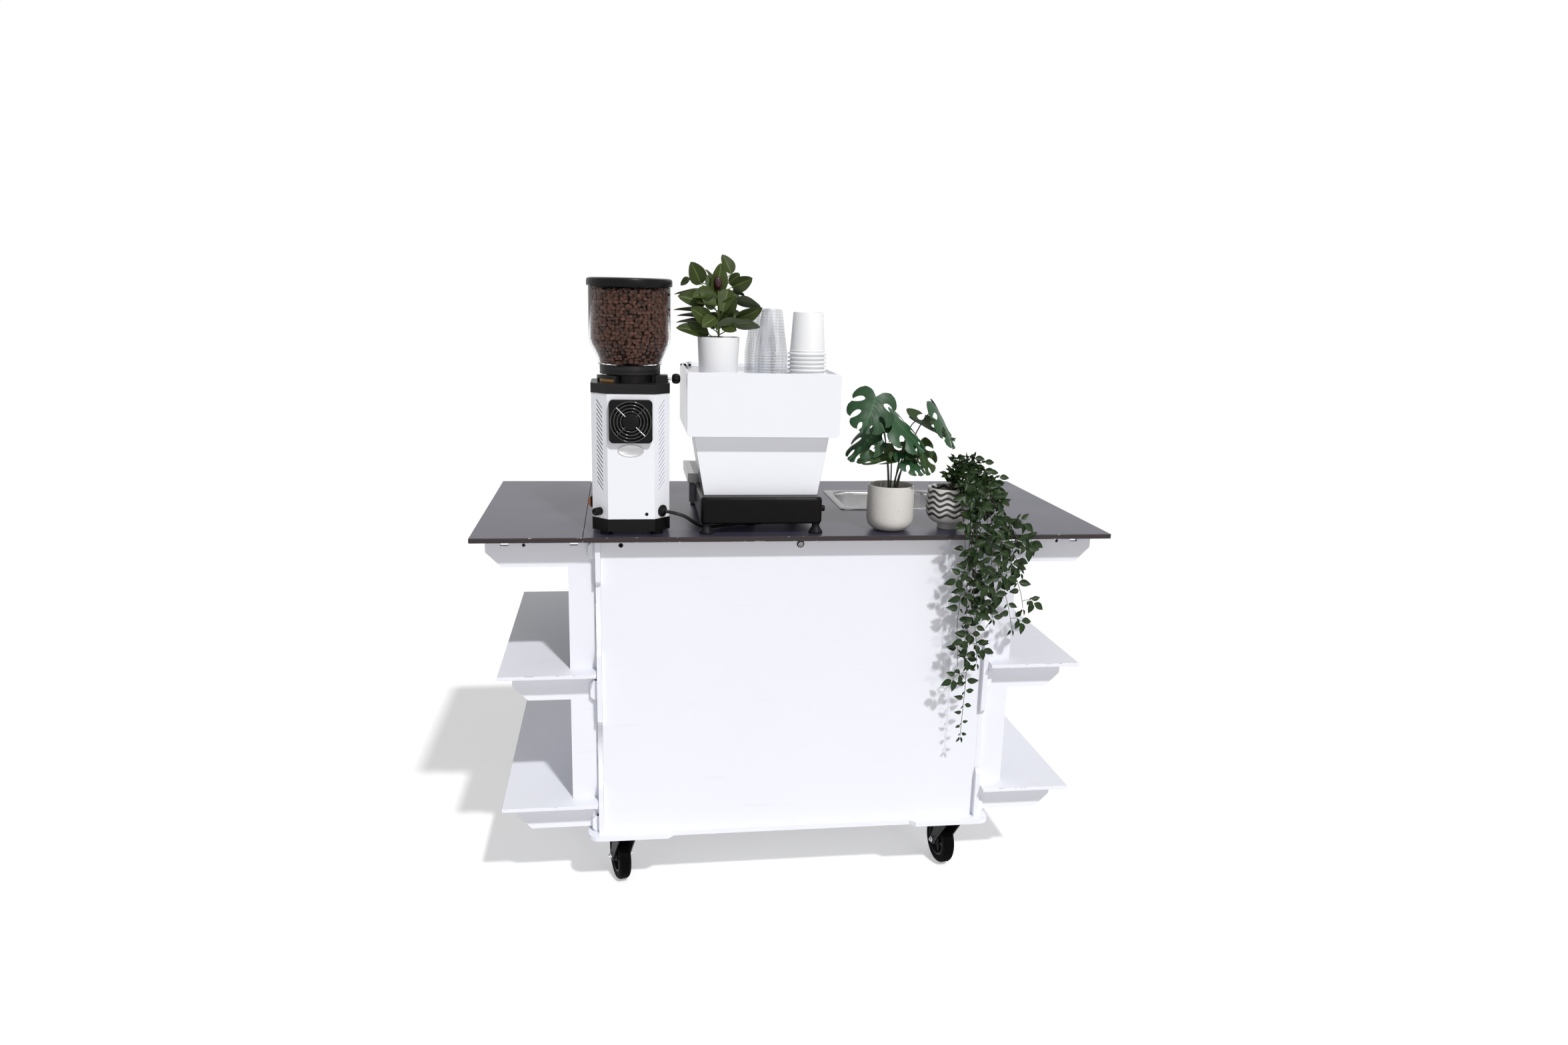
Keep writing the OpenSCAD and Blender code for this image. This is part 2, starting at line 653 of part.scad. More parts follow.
// Cord gland on the right corner face and fuse holder on the left one
gland_d = 28;
fuse_d = 18;
fuse_l = 20;
gland_l = 12;
gland_z = 56;
cord_d = 8;
switch_t = 10;
switch_d = 22;
switch_h = 26;
switch_z = 66;
module corner_fitting(side, d, l) at_grinder() translate([side * (column_w - column_cut) / 2, (column_cut - column_w) / 2, gland_z])
    rotate([0, 0, side * 45]) rotate([90, 0, 0]) children();
module grinder_fittings() color(black_part) {
    corner_fitting(1) {
        cylinder(d = gland_d, h = gland_l / 3);
        cylinder(d1 = gland_d - 8 * over, d2 = cord_d + 4 * over, h = gland_l);
    }
    corner_fitting(-1) cylinder(d = fuse_d, h = fuse_l);
    at_grinder() translate([-column_w / 2 - switch_t, -switch_d / 2, switch_z - switch_h / 2])
        cube([switch_t, switch_d, switch_h]);
}

// Spout and filter-holder fork on the barista's side
spout_z = 190;
spout_w = 54;
spout_l = 46;
spout_h = 70;
fork_z = 128;
fork_l = 92;
fork_rod = 9;
fork_plate = 6;
module grinder_spout() color(black_part) at_grinder() translate([0, column_w / 2, 0]) {
    translate([-spout_w / 2, 0, fork_z - fork_rod]) cube([spout_w, fork_plate, spout_z + spout_h - fork_z + fork_rod]);
    difference() {
        translate([-spout_w / 2, fork_plate - over, spout_z]) cube([spout_w, spout_l, spout_h]);
        translate([0, fork_plate + spout_l / 2, spout_z - over]) cylinder(d = spout_w - 4 * wall, h = spout_h - 2 * wall);
    }
    for (s = [-1, 1]) translate([s * spout_w / 3, fork_plate - over, fork_z]) rotate([-90, 0, 0])
        cylinder(d = fork_rod, h = fork_l);
}

// The grinder's cord: from the gland over the worktop to the slot under the machine, then down into the socket box
cord_route = [[0, 0, 0], [12, -12, 0], [28, -18, -3], [46, -13, -11], [62, 0, -24], [78, 20, -37], [94, 42, -46],
    [114, 60, -50], [142, 78, -52], [175, 95, -52], [205, 109, -52]];
cord_sides = 8;
cord_bend = 34;
cord_down = 50;
cord_tail = 16;
gland_tip = [grinder_x + (column_w - column_cut) / 2 + (gland_l + fit) * cos(45),
    grinder_y + (column_cut - column_w) / 2 - (gland_l + fit) * sin(45), counter_h + gland_z];
function unit(v) = v / norm(v);
function bez(p, i, t) = let (a = p[max(i - 1, 0)], b = p[i], c = p[i + 1], d = p[min(i + 2, len(p) - 1)])
    0.5 * (2 * b + (c - a) * t + (2 * a - 5 * b + 4 * c - d) * t * t + (3 * b - a - 3 * c + d) * t * t * t);
cord_run = [for (p = cord_route) [gland_tip[0] + p[0], gland_tip[1] + p[1],
    max(gland_tip[2] + p[2], counter_h + cord_d / 2 + gap)]];
cord_pts = [for (i = [0:len(cord_run) - 2], k = [0:2]) bez(cord_run, i, k / 3)];
cord_lip = cord_run[len(cord_run) - 1];
cord_way = [cos(slot_turn), sin(slot_turn), 0];
function cord_arc(a) = cord_lip + cord_bend * sin(a) * cord_way - [0, 0, cord_bend * (1 - cos(a))];
cord_all = concat(cord_pts, [for (a = [0:10:cord_down]) cord_arc(a)],
    [cord_arc(cord_down) + cord_tail * (cos(cord_down) * cord_way - [0, 0, sin(cord_down)])]);
module tube(pts, d, n) {
    m = len(pts);
    tan = [for (i = [0:m - 1]) unit(pts[min(i + 1, m - 1)] - pts[max(i - 1, 0)])];
    nrm = [for (t = tan) unit(cross(t, abs(t[2]) > 0.9 ? [1, 0, 0] : [0, 0, 1]))];
    polyhedron(points = [for (i = [0:m - 1], k = [0:n - 1])
            pts[i] + d / 2 * (nrm[i] * cos(360 * k / n) + cross(tan[i], nrm[i]) * sin(360 * k / n))],
        faces = concat([[for (k = [n - 1:-1:0]) k]], [[for (k = [0:n - 1]) (m - 1) * n + k]],
            [for (i = [0:m - 2], k = [0:n - 1])
                [i * n + k, i * n + (k + 1) % n, (i + 1) * n + (k + 1) % n, (i + 1) * n + k]]));
}
module grinder_cord() color(black_part) tube(cord_all, cord_d, cord_sides);

// Espresso machine, its back turned to the customers

machine_x = -96;
machine_in = 26;
machine_y = front_y + machine_in;
mfoot_h = 24;
mfoot_d = 34;
mfoot_neck = 18;
mfoot_in = [14, 30];
mbase_h = 64;
mbase_d = 400;
mbase_r = 14;
valve_in = 34;
valve_d = 15;
valve_l = 11;
mbody_set = 34;
mbody_d = 150;
mbody_top = 322;
mbody_low = 272;
casing_h = 147;
casing_r = 8;
casing_z = machine_h - casing_h;
flange = 12;
tray_lip = 6;
tray_edge = 6;
mbody_z = mfoot_h + mbase_h;

module at_machine() translate([machine_x, machine_y, counter_h]) children();

module machine_feet() color(black_part) at_machine() for (sx = [-1, 1], y = [mfoot_in[0], mbase_d - mfoot_in[1]])
    translate([sx * (mbase_w / 2 - mfoot_in[0]), y, 0]) rotate_extrude() polygon([[0, 0], [mfoot_d / 2, 0],
        [mfoot_d / 2, mfoot_h / 6], [mfoot_d / 2 - mfoot_h / 8, mfoot_h / 3], [mfoot_neck / 2, mfoot_h * 2 / 3],
        [mfoot_neck / 2, mfoot_h], [0, mfoot_h]]);

module machine_base() color(black_part) at_machine() difference() {
    union() {
        translate([0, mbase_d / 2, mfoot_h]) linear_extrude(mbase_h) soft_rect(mbase_w, mbase_d, mbase_r);
        translate([mbase_w / 2 - shell / 2, valve_in, mfoot_h + mbase_h / 2]) rotate([0, 90, 0])
            cylinder(d = valve_d, h = valve_l);
    }
    translate([0, mbase_d / 2, mfoot_h + shell]) linear_extrude(mbase_h - 2 * shell)
        soft_rect(mbase_w - 2 * shell, mbase_d - 2 * shell, mbase_r - shell);
    translate([-mbody_low / 2 + flange, mbody_set + flange, mfoot_h + mbase_h / 2])
        cube([mbody_low - 2 * flange, mbody_d - 2 * flange, mbase_h]);
}

// Lower body: its back narrows towards the base
module body_2d(t) polygon([[t - mbody_low / 2, mbody_z - over * t], [mbody_low / 2 - t, mbody_z - over * t],
    [mbody_top / 2 - t, casing_z + over * t], [t - mbody_top / 2, casing_z + over * t]]);
module machine_body() color(white_paint) at_machine() difference() {
    sheet_y(mbody_set, mbody_d) body_2d(0);
    sheet_y(mbody_set + shell, mbody_d - 2 * shell) body_2d(shell);
}

// Upper casing with a recessed cup tray on top
module machine_casing() color(white_paint) at_machine() difference() {
    sheet_y(0, casing_d) translate([0, casing_z + casing_h / 2]) soft_rect(casing_w, casing_h, casing_r);
    translate([-casing_w / 2 + tray_edge, tray_edge, machine_h - tray_lip])
        cube([casing_w - 2 * tray_edge, casing_d - 2 * tray_edge, tray_lip + over]);
    translate([-casing_w / 2 + shell, shell, casing_z + shell])
        cube([casing_w - 2 * shell, casing_d - 2 * shell, casing_h - tray_lip - 2 * shell]);
    translate([-mbody_top / 2 + flange, mbody_set + flange, casing_z - over])
        cube([mbody_top - 2 * flange, mbody_d - 2 * flange, casing_h / 2]);
}

// Group head on the barista's side
group_d = 86;
group_h = 70;
group_out = 52;
group_drop = 22;
group_z = casing_z + group_drop;
neck_w = 60;
ring_d = 74;
ring_h = 12;
ring_bore = 58;
basket_h = 26;
spindle_d = 14;
module at_group() at_machine() translate([0, casing_d + group_out, 0]) children();
module group_head() color(steel_part) at_group() difference() {
    union() {
        translate([0, 0, group_z]) cylinder(d = group_d, h = group_h);
        translate([-neck_w / 2, -group_out, group_z + group_drop]) cube([neck_w, group_out, group_h - group_drop]);
        translate([0, 0, group_z + group_h - over]) cylinder(d = spindle_d, h = group_drop + over);
    }
    translate([0, 0, group_z - over]) cylinder(d = ring_d + 2 * run, h = ring_h + over + gap);
}

handle_l = 140;
handle_d = 26;
handle_tip = 30;
handle_neck = 14;
spout_d = 12;
module filter_holder() color(black_part) at_group() {
    difference() {
        union() {
            translate([0, 0, group_z - basket_h]) cylinder(d = ring_d - 2 * wall, h = basket_h + over);
            translate([0, 0, group_z]) cylinder(d = ring_d, h = ring_h);
        }
        translate([0, 0, group_z - basket_h + wall]) cylinder(d = ring_bore, h = basket_h + ring_h);
    }
    translate([0, ring_d / 2 - 2 * wall, group_z - basket_h / 2]) rotate([-90, 0, 0]) {
        cylinder(d = handle_neck, h = handle_tip + over);
        translate([0, 0, handle_tip]) cylinder(d1 = handle_neck + wall, d2 = handle_d, h = handle_l - handle_tip);
    }
    for (s = [-1, 1]) translate([s * spout_d, 0, group_z - basket_h - spout_d]) cylinder(d = spout_d, h = spout_d + over);
}

paddle_l = 74;
paddle_w = 18;
paddle_h = 14;
module paddle() color([0.35, 0.2, 0.12]) at_group() translate([0, 0, group_z + group_h + gap]) difference() {
    union() {
        cylinder(d = paddle_w + 2 * wall, h = paddle_h);
        translate([-paddle_w / 2, 0, 0]) cube([paddle_w, paddle_l, paddle_h]);
        translate([0, paddle_l, 0]) cylinder(d = paddle_w, h = paddle_h);
    }
    translate([0, 0, -over]) cylinder(d = spindle_d + 2 * run, h = paddle_h + 2 * over);
}

// Steam wand in a swivel socket under the casing's front, and its knob
wand_x = 128;
wand_in = 26;
wand_d = 10;
wand_drop = 96;
wand_lean = 25;
socket_d = 26;
socket_h = 18;
module steam_wand() color(steel_part) at_machine() translate([wand_x, casing_d - wand_in, casing_z]) {
    translate([0, 0, -socket_h - gap]) cylinder(d = socket_d, h = socket_h);
    translate([0, 0, -socket_h]) rotate([wand_lean, 0, 0]) translate([0, 0, -wand_drop]) cylinder(d = wand_d, h = wand_drop + over);
}

knob_w = 40;
knob_t = 26;
knob_up = 92;
stem_d = 10;
stem_l = 12;
module steam_knob() color(black_part) at_machine() translate([wand_x, casing_d + gap, casing_z + knob_up])
    rotate([-90, 0, 0]) {
        cylinder(d = stem_d, h = stem_l + over);
        translate([0, 0, stem_l]) cylinder(d = knob_w, h = knob_t);
    }

tray_w = 330;
tray_d = 210;
tray_h = 24;
tray_back = 200;
tray_slots = 9;
tray_slot = 8;
tray_grid = 3;
module drip_tray() color(steel_part) at_machine() translate([-tray_w / 2, tray_back, mbody_z + gap]) difference() {
    cube([tray_w, tray_d, tray_h]);
    translate([wall, wall, wall]) cube([tray_w - 2 * wall, tray_d - 2 * wall, tray_h - wall - tray_grid]);
    for (k = [0:tray_slots - 1])
        translate([tray_slot * 2, tray_slot + k * (tray_d - 2 * tray_slot) / tray_slots, tray_h - tray_grid - over])
            cube([tray_w - 4 * tray_slot, tray_slot, tray_grid + 2 * over]);
}

// Pots and plants

pot_wall = 5;
cream_x = 225;
cream_in = 74;
module cream_at() translate([cream_x, front_y + cream_in, counter_h]) children();
cream_d = 115;
cream_h = 112;
cream_rim = 112;
cream_low = 30;
cream_foot = 70;
function arc_pts(cx, cz, r, a0, a1, n) = [for (i = [0:n]) let (a = a0 + (a1 - a0) * i / n) [cx + r * cos(a), cz + r * sin(a)]];
module cream_pot() color([0.87, 0.85, 0.82]) cream_at() rotate_extrude() polygon(concat([[0, 0]],
    arc_pts(cream_d / 2 - cream_low, cream_low, cream_low, -90, 0, 8),
    [[cream_rim / 2, cream_h], [cream_rim / 2 - pot_wall, cream_h], [cream_d / 2 - pot_wall, cream_low]],
    [[cream_foot / 2, pot_wall], [0, pot_wall]]));

wavy_x = 376;
wavy_in = 86;
module wavy_at() translate([wavy_x, front_y + wavy_in, counter_h]) children();
wavy_d = 110;
wavy_h = 103;
wavy_rim = 106;
wavy_foot = 50;
wavy_turn = 48;
wavy_stem = 14;
module wavy_pot() color([0.82, 0.81, 0.79]) wavy_at() rotate_extrude() polygon(concat([[0, 0], [wavy_foot / 2, 0],
    [wavy_foot / 2, wavy_stem]],
    [for (i = [0:8]) let (a = 90 * i / 8) [wavy_foot / 2 + (wavy_d - wavy_foot) / 2 * sin(a),
        wavy_stem + (wavy_turn - wavy_stem) * (1 - cos(a))]],
    [[wavy_rim / 2, wavy_h], [wavy_rim / 2 - pot_wall, wavy_h], [wavy_d / 2 - pot_wall, wavy_turn],
    [wavy_foot / 2, wavy_stem + pot_wall], [0, wavy_stem + pot_wall]]));

deck_z = counter_h + machine_h - tray_lip;
white_x = -199;
white_in = 92;
module white_at() translate([white_x, front_y + white_in, deck_z]) children();
white_d = 98;
white_low = 83;
white_h = 84;
module white_pot() color(white_paint) white_at() rotate_extrude() polygon([[0, 0], [white_low / 2, 0],
    [white_d / 2, white_h], [white_d / 2 - wall, white_h], [white_low / 2 - wall, wall], [0, wall]]);

// A lens-shaped leaf along +X, a twig between two points, and a leaf laid from one point to another
blade_n = 4;
function lens_pts(l, w) = concat([for (i = [0:blade_n]) [l * i / blade_n, w / 2 * sin(180 * i / blade_n)]],
    [for (i = [blade_n - 1:-1:1]) [l * i / blade_n, -w / 2 * sin(180 * i / blade_n)]]);
module blade(l, w, t) linear_extrude(t, center = true) polygon(lens_pts(l, w));
module twig(a, b, d) hull() { translate(a) sphere(d = d, $fn = 4); translate(b) sphere(d = d, $fn = 4); }
module leaf_axes(a, b, side) {
    u = unit(b - a);
    v = unit(side - (side * u) * u);
    w = cross(u, v);
    multmatrix([[u[0], v[0], w[0], a[0]], [u[1], v[1], w[1], a[1]], [u[2], v[2], w[2], a[2]], [0, 0, 0, 1]])
        children();
}
leaf_t = 1.6;
stem_t = 5;
stalk_t = 3.4;
soil_h = 10;

// Broad leaves: where each starts, where it ends, its width and how far it is turned from the customers
broad_leaves = [[[29, 8, 226], [10, 16, 271], 30, 25], [[-5, 2, 180], [5, -4, 249], 37, 10],
    [[-42, -4, 201], [-64, -22, 249], 38, 10], [[-66, 14, 213], [-89, 26, 200], 18, 40],
    [[29, 4, 197], [78, 0, 216], 34, 20], [[22, 14, 206], [52, 22, 226], 30, 30],
    [[-13, -10, 186], [-62, -40, 177], 30, 40], [[-30, -4, 160], [-93, -18, 177], 38, 25],
    [[4, -20, 158], [-52, -34, 166], 26, 50], [[20, -14, 193], [5, -40, 143], 34, 15],
    [[34, -2, 164], [99, -18, 156], 34, 50], [[38, -6, 124], [98, -26, 149], 32, 20],
    [[35, -8, 108], [94, -30, 114], 30, 40], [[-8, -20, 106], [65, -50, 126], 26, 45],
    [[-22, -14, 118], [-63, -42, 148], 36, 15], [[-22, -6, 90], [-96, -28, 108], 34, 35],
    [[-26, 12, 112], [-95, 30, 122], 34, 80], [[-26, 14, 134], [-100, 28, 151], 34, 82],
    [[-24, 18, 122], [-92, 40, 137], 32, 78], [[-22, 10, 180], [-100, 24, 187], 34, 84],
    [[14, 4, 150], [22, -8, 110], 34, 20], [[-6, 10, 140], [-16, 14, 100], 34, 20],
    [[30, 2, 188], [60, -6, 181], 22, 60], [[-14, 6, 206], [-28, 12, 237], 14, 50],
    [[-24, 2, 196], [-28, -2, 224], 20, 40], [[10, 20, 150], [50, 66, 190], 38, -30],
    [[0, 22, 170], [-26, 70, 205], 38, -20], [[20, 26, 120], [64, 62, 140], 36, -30],
    [[-14, 26, 120], [-60, 66, 150], 36, -30]];
function across(q) = unit(cross(q[1] - q[0], [0, -1, 0])) * cos(q[3]) + [0, sin(q[3]), 0];
bud_d = 19;
bud_at = [-3, -7, 204];
soil_gap = 24;
white_soil_d = 86.8;
module broad_leaf_plant() color(leaf_green) white_at() {
    translate([0, 0, white_h - soil_gap]) cylinder(d = white_soil_d, h = soil_h, $fn = 24);
    twig([0, 0, white_h - soil_gap + soil_h / 3], [0, 0, bud_at[2] - soil_h], stem_t);
    twig([0, 0, bud_at[2] - 2 * soil_h], bud_at, stalk_t);
    translate(bud_at) sphere(d = bud_d, $fn = 12);
    for (q = broad_leaves) {
        twig([0, 0, q[0][2] - 2 * soil_h], q[0], stalk_t);
        leaf_axes(q[0], q[1], across(q)) translate([-stem_t, 0, 0]) blade(norm(q[1] - q[0]) + stem_t, q[2], leaf_t);
    }
}

// Split leaves: where the stalk meets each leaf, where the leaf ends, and the way its width runs
split_leaves = [[[-60, -45, 315], [-90, -70, 240], [0.7, 0.1, 0.7]], [[-10, -25, 272], [58, -75, 205], [0.7, 0.1, 0.7]],
    [[-30, -5, 246], [-118, -35, 160], [0.5, -0.6, -0.5]], [[5, 25, 194], [-88, 55, 155], [0.2, -1, -0.1]],
    [[107, 16, 290], [160, -4, 214], [0.1, -1, 0.2]], [[66, 36, 274], [155, 46, 220], [0.3, -0.8, 0.4]],
    [[15, -34, 180], [66, -75, 155], [0.4, 0.6, 0.4]], [[53, -4, 204], [72, -14, 136], [0.9, 0, 0.2]]];
split_n = 36;
split_deep = 0.26;
split_wide = 0.62;
split_back = 0.3;
stalk_d = 4.4;
stalk_low = 40;
cream_soil = 92;
cream_soil_d = 101;
module split_leaf(l) linear_extrude(leaf_t, center = true) polygon([for (i = [0:split_n - 1])
    let (a = 360 * i / split_n, e = 1 - split_deep * (1 - cos(12 * a)) / 2 * (1 - abs(cos(a))))
    [l * (1 - split_back) / 2 + l * (1 + split_back) / 2 * e * cos(a), l * split_wide * e * sin(a)]]);
module split_leaf_plant() color(leaf_green) cream_at() {
    translate([0, 0, cream_soil - soil_h]) cylinder(d = cream_soil_d, h = soil_h, $fn = 24);
    for (q = split_leaves) let (mid = [q[0][0] / 3, q[0][1] / 3, (cream_soil + q[0][2]) / 2]) {
        twig([q[0][0] / 8, q[0][1] / 8, cream_soil - soil_h / 2], mid, stalk_d);
        twig(mid, q[0], stalk_d);
        leaf_axes(q[0], q[1], q[2]) split_leaf(norm(q[1] - q[0]));
    }
}

// Vine strands: place along the worktop's edge, reach in front of it, then the place and height of the end
strands = [[-10, 14, -24, -340], [30, 22, 58, -535], [18, 28, 62, -338], [52, 24, 62, -204], [74, 33.1, 90, -205],
    [108, 20, 168, -255], [128, 24, 200, -195], [150, 16, 190, -120], [168, 14, 190, -45], [4, 20, 18, -180],
    [92, 16, 120, -150], [156, 18, 186, -20]];
sprigs = [[60, 0, 162], [10, 2, 168], [-20, -18, 140], [104, 6, 142], [110, -20, 100]];
strand_n = 9;
strand_d = 3.2;
vine_leaf_l = 30;
vine_leaf_w = 16;
arch_h = 60;
edge_h = 24;
wavy_soil = 84;
wavy_soil_d = 97;
arch_share = 0.36;
function strand_pt(q, s) = let (ye = -wavy_in - q[1]) s < arch_share
    ? let (t = s / arch_share) [q[0] * t, ye * t, wavy_soil + 4 * arch_h * t * (1 - t) + (edge_h - wavy_soil) * t]
    : let (t = (s - arch_share) / (1 - arch_share))
        [q[0] + (q[2] - q[0]) * t, ye + q[1] / 3 * t * t, edge_h + (q[3] - edge_h) * t];
module vine() color(leaf_green) wavy_at() {
    translate([0, 0, wavy_soil - soil_h]) cylinder(d = wavy_soil_d, h = soil_h, $fn = 24);
    for (q = strands, k = [0:strand_n - 1]) let (a = strand_pt(q, k / strand_n), b = strand_pt(q, (k + 1) / strand_n)) {
        twig(a, b, strand_d);
        if (k > 1) translate(b) rotate([0, 30, (k % 2 == 0 ? -20 : 200) + 30 * sin(97 * k + q[0])])
            translate([-strand_d / 2, 0, 0]) blade(vine_leaf_l, vine_leaf_w, leaf_t);
    }
    for (p = sprigs) let (mid = [p[0] / 2, p[1] / 2, max(p[2] - soil_h, wavy_h + soil_h)]) {
        twig([0, 0, wavy_soil - soil_h / 2], mid, strand_d);
        twig(mid, p, strand_d);
        for (k = [0:2]) translate(p) rotate([0, 10, k * 120 + p[0]]) blade(vine_leaf_l, vine_leaf_w, leaf_t);
    }
}

// Cups and lids on the machine, stacked mouth down
cup_rim = 78;
cup_low = 48;
cup_h = 107;
cup_wall = 0.6;
cup_step = 6;
module cup_2d(low, rim, h, t) polygon([[0, h], [low / 2, h], [rim / 2, 0], [rim / 2 - t, 0], [low / 2 - t, h - t],
    [0, h - t]]);
clear_at = [[-75, 92], [-88, 190]];
clear_n = 8;
module clear_cups() color(clear_part) for (p = clear_at, k = [0:clear_n - 1])
    translate([p[0], front_y + p[1], deck_z + k * cup_step]) rotate_extrude() cup_2d(cup_low, cup_rim, cup_h, cup_wall);

lids_at = [11, 92];
lid_d = 92;
lid_step = 9.4;
lid_n = 6;
lid_rim = 4;
paper_rim = 83;
paper_low = 70;
paper_h = 90;
paper_t = 1.2;
module cup_lids() color(white_paint) translate([lids_at[0], front_y + lids_at[1], deck_z]) {
    rotate_extrude() polygon(concat([[0, 0]], [for (k = [0:lid_n - 1]) each [[lid_d / 2 - lid_rim, k * lid_step],
        [lid_d / 2, k * lid_step + lid_rim / 2], [lid_d / 2, k * lid_step + lid_rim],
        [lid_d / 2 - lid_rim, k * lid_step + 2 * lid_rim]]], [[0, lid_n * lid_step]]));
    translate([0, 0, lid_n * lid_step - 2 * over]) rotate_extrude() cup_2d(paper_low, paper_rim, paper_h, paper_t);
}

base_plate();
side_panel_left();
side_panel_right();
front_panel();
rear_rail();
inner_shelf();
main_top();
sink_basin();
bolts();
outlet_box();
left_brackets();
left_leaf();
left_mid_shelf();
left_low_shelf();
right_brackets();
right_leaf();
right_mid_shelf();
right_low_shelf();
caster_plates();
fork_fl();
fork_fr();
fork_rl();
fork_rr();
wheel_fl();
wheel_fr();
wheel_rl();
wheel_rr();
grinder_base();
grinder_column();
grinder_cap();
adjust_sector();
grinder_collar();
hopper();
beans();
hopper_lid();
fan_box();
fan_rotor();
fan_guard();
adjust_knob();
grinder_fittings();
grinder_spout();
grinder_cord();
machine_base();
machine_feet();
machine_body();
machine_casing();
group_head();
filter_holder();
paddle();
steam_wand();
steam_knob();
drip_tray();
cream_pot();
split_leaf_plant();
wavy_pot();
vine();
white_pot();
broad_leaf_plant();
clear_cups();
cup_lids();
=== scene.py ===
import math
import random
import bpy
from mathutils import Matrix, Vector


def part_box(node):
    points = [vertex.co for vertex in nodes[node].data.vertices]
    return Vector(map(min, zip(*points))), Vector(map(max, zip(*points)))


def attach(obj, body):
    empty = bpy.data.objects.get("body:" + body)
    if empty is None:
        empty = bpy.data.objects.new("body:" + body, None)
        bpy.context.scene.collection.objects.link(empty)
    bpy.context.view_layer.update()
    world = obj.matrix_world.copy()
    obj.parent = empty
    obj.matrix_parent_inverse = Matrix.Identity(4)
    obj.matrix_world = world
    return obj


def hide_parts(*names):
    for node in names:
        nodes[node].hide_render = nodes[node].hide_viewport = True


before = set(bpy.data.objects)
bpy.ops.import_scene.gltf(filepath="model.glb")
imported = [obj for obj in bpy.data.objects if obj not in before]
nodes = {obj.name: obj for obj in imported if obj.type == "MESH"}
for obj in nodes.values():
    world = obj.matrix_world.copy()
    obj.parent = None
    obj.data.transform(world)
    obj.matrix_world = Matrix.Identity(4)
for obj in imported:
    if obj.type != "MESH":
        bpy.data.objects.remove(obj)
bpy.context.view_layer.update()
scene = bpy.context.scene
scene.view_settings.view_transform = "Standard"
dice = random.Random(27)
mm = 0.001
print("frame loaded:", len(nodes), "nodes")

deck = {"front": -354.65, "top": 930}  # the worktop's front edge and its upper side


def bench(x, y, z):  # millimetres: from the middle, behind the worktop's front edge, above the worktop
    return Vector((x, y + deck["front"], z + deck["top"])) * mm


def linked(name, data):
    thing = bpy.data.objects.new(name, data)
    scene.collection.objects.link(thing)
    return thing


def activate(*pieces):
    active = bpy.context.view_layer.objects.active
    if active and active.mode != "OBJECT":
        bpy.ops.object.mode_set(mode="OBJECT")
    bpy.ops.object.select_all(action="DESELECT")
    for piece in pieces:
        piece.select_set(True)
    bpy.context.view_layer.objects.active = pieces[0] if pieces else None


def edit(piece):
    activate(piece)
    bpy.ops.object.mode_set(mode="EDIT")
    bpy.ops.mesh.select_mode(type="VERT")
    bpy.ops.mesh.select_all(action="SELECT")


def leaveEdit():
    bpy.ops.object.mode_set(mode="OBJECT")


def applyAll(piece):
    activate(piece)
    for modifier in list(piece.modifiers):
        bpy.ops.object.modifier_apply(modifier=modifier.name)


def settle(piece, name=None):  # the place, turn and scale go into the mesh
    activate(piece)
    bpy.ops.object.transform_apply(location=True, rotation=True, scale=True)
    if name:
        piece.name = piece.data.name = name
    return piece


def smoothed(piece, angle=40, flatFaces=False):
    activate(piece)
    bpy.ops.object.shade_smooth_by_angle(angle=math.radians(angle))
    if flatFaces:
        modifier = piece.modifiers.new("flatFaces", "WEIGHTED_NORMAL")
        modifier.keep_sharp = True
        applyAll(piece)
    return piece


def bevelled(piece, width, segments=2, angle=30):
    modifier = piece.modifiers.new("edge", "BEVEL")
    modifier.width = width * mm
    modifier.segments = segments
    modifier.limit_method = "ANGLE"
    modifier.angle_limit = math.radians(angle)
    modifier.material = 1 if len(piece.data.materials) > 1 else -1
    applyAll(piece)
    return smoothed(piece, 50, True)


def joined(name, parts):
    activate(*parts)
    if len(parts) > 1:
        bpy.ops.object.join()
    parts[0].name = parts[0].data.name = name
    return parts[0]


def drawn(name, points, faces=(), edges=()):
    mesh = bpy.data.meshes.new(name)
    mesh.from_pydata([tuple(p) for p in points], edges, faces)
    mesh.update()
    return linked(name, mesh)


def faceOut(piece):  # doubles are merged first, then the faces turn outwards
    edit(piece)
    bpy.ops.mesh.remove_doubles(threshold=0.00001)
    bpy.ops.mesh.normals_make_consistent(inside=False)
    leaveEdit()
    return piece


def turned(name, section, at=(0, 0, 0), axis=(0, 0, 1), steps=48, ring=False, angle=40):
    # a half section in millimetres, spun round its axis; a ring's section closes on itself
    points = [(r * mm, 0, z * mm) for r, z in section]
    edges = [(i, i + 1) for i in range(len(points) - 1)]
    if ring:
        edges.append((len(points) - 1, 0))
    piece = drawn(name, points, edges=edges)
    edit(piece)
    bpy.ops.mesh.spin(steps=steps, angle=math.tau, center=(0, 0, 0), axis=(0, 0, 1))
    leaveEdit()
    faceOut(piece)
    turn = Vector((0, 0, 1)).rotation_difference(Vector(axis)).to_matrix().to_4x4()
    piece.data.transform(Matrix.Translation(at) @ turn)
    return smoothed(piece, angle)


def roundRing(width, depth, radius, z, at, steps=6):  # a rectangle with round corners, in millimetres
    points = []
    for k in range(4):
        cx = (width / 2 - radius) * (1 if k in (0, 3) else -1)
        cy = (depth / 2 - radius) * (1 if k in (0, 1) else -1)
        for i in range(steps + 1):
            a = math.radians(90 * (k + i / steps))
            points.append(Vector((cx + radius * math.cos(a), cy + radius * math.sin(a), z)) * mm + Vector(at))
    return points


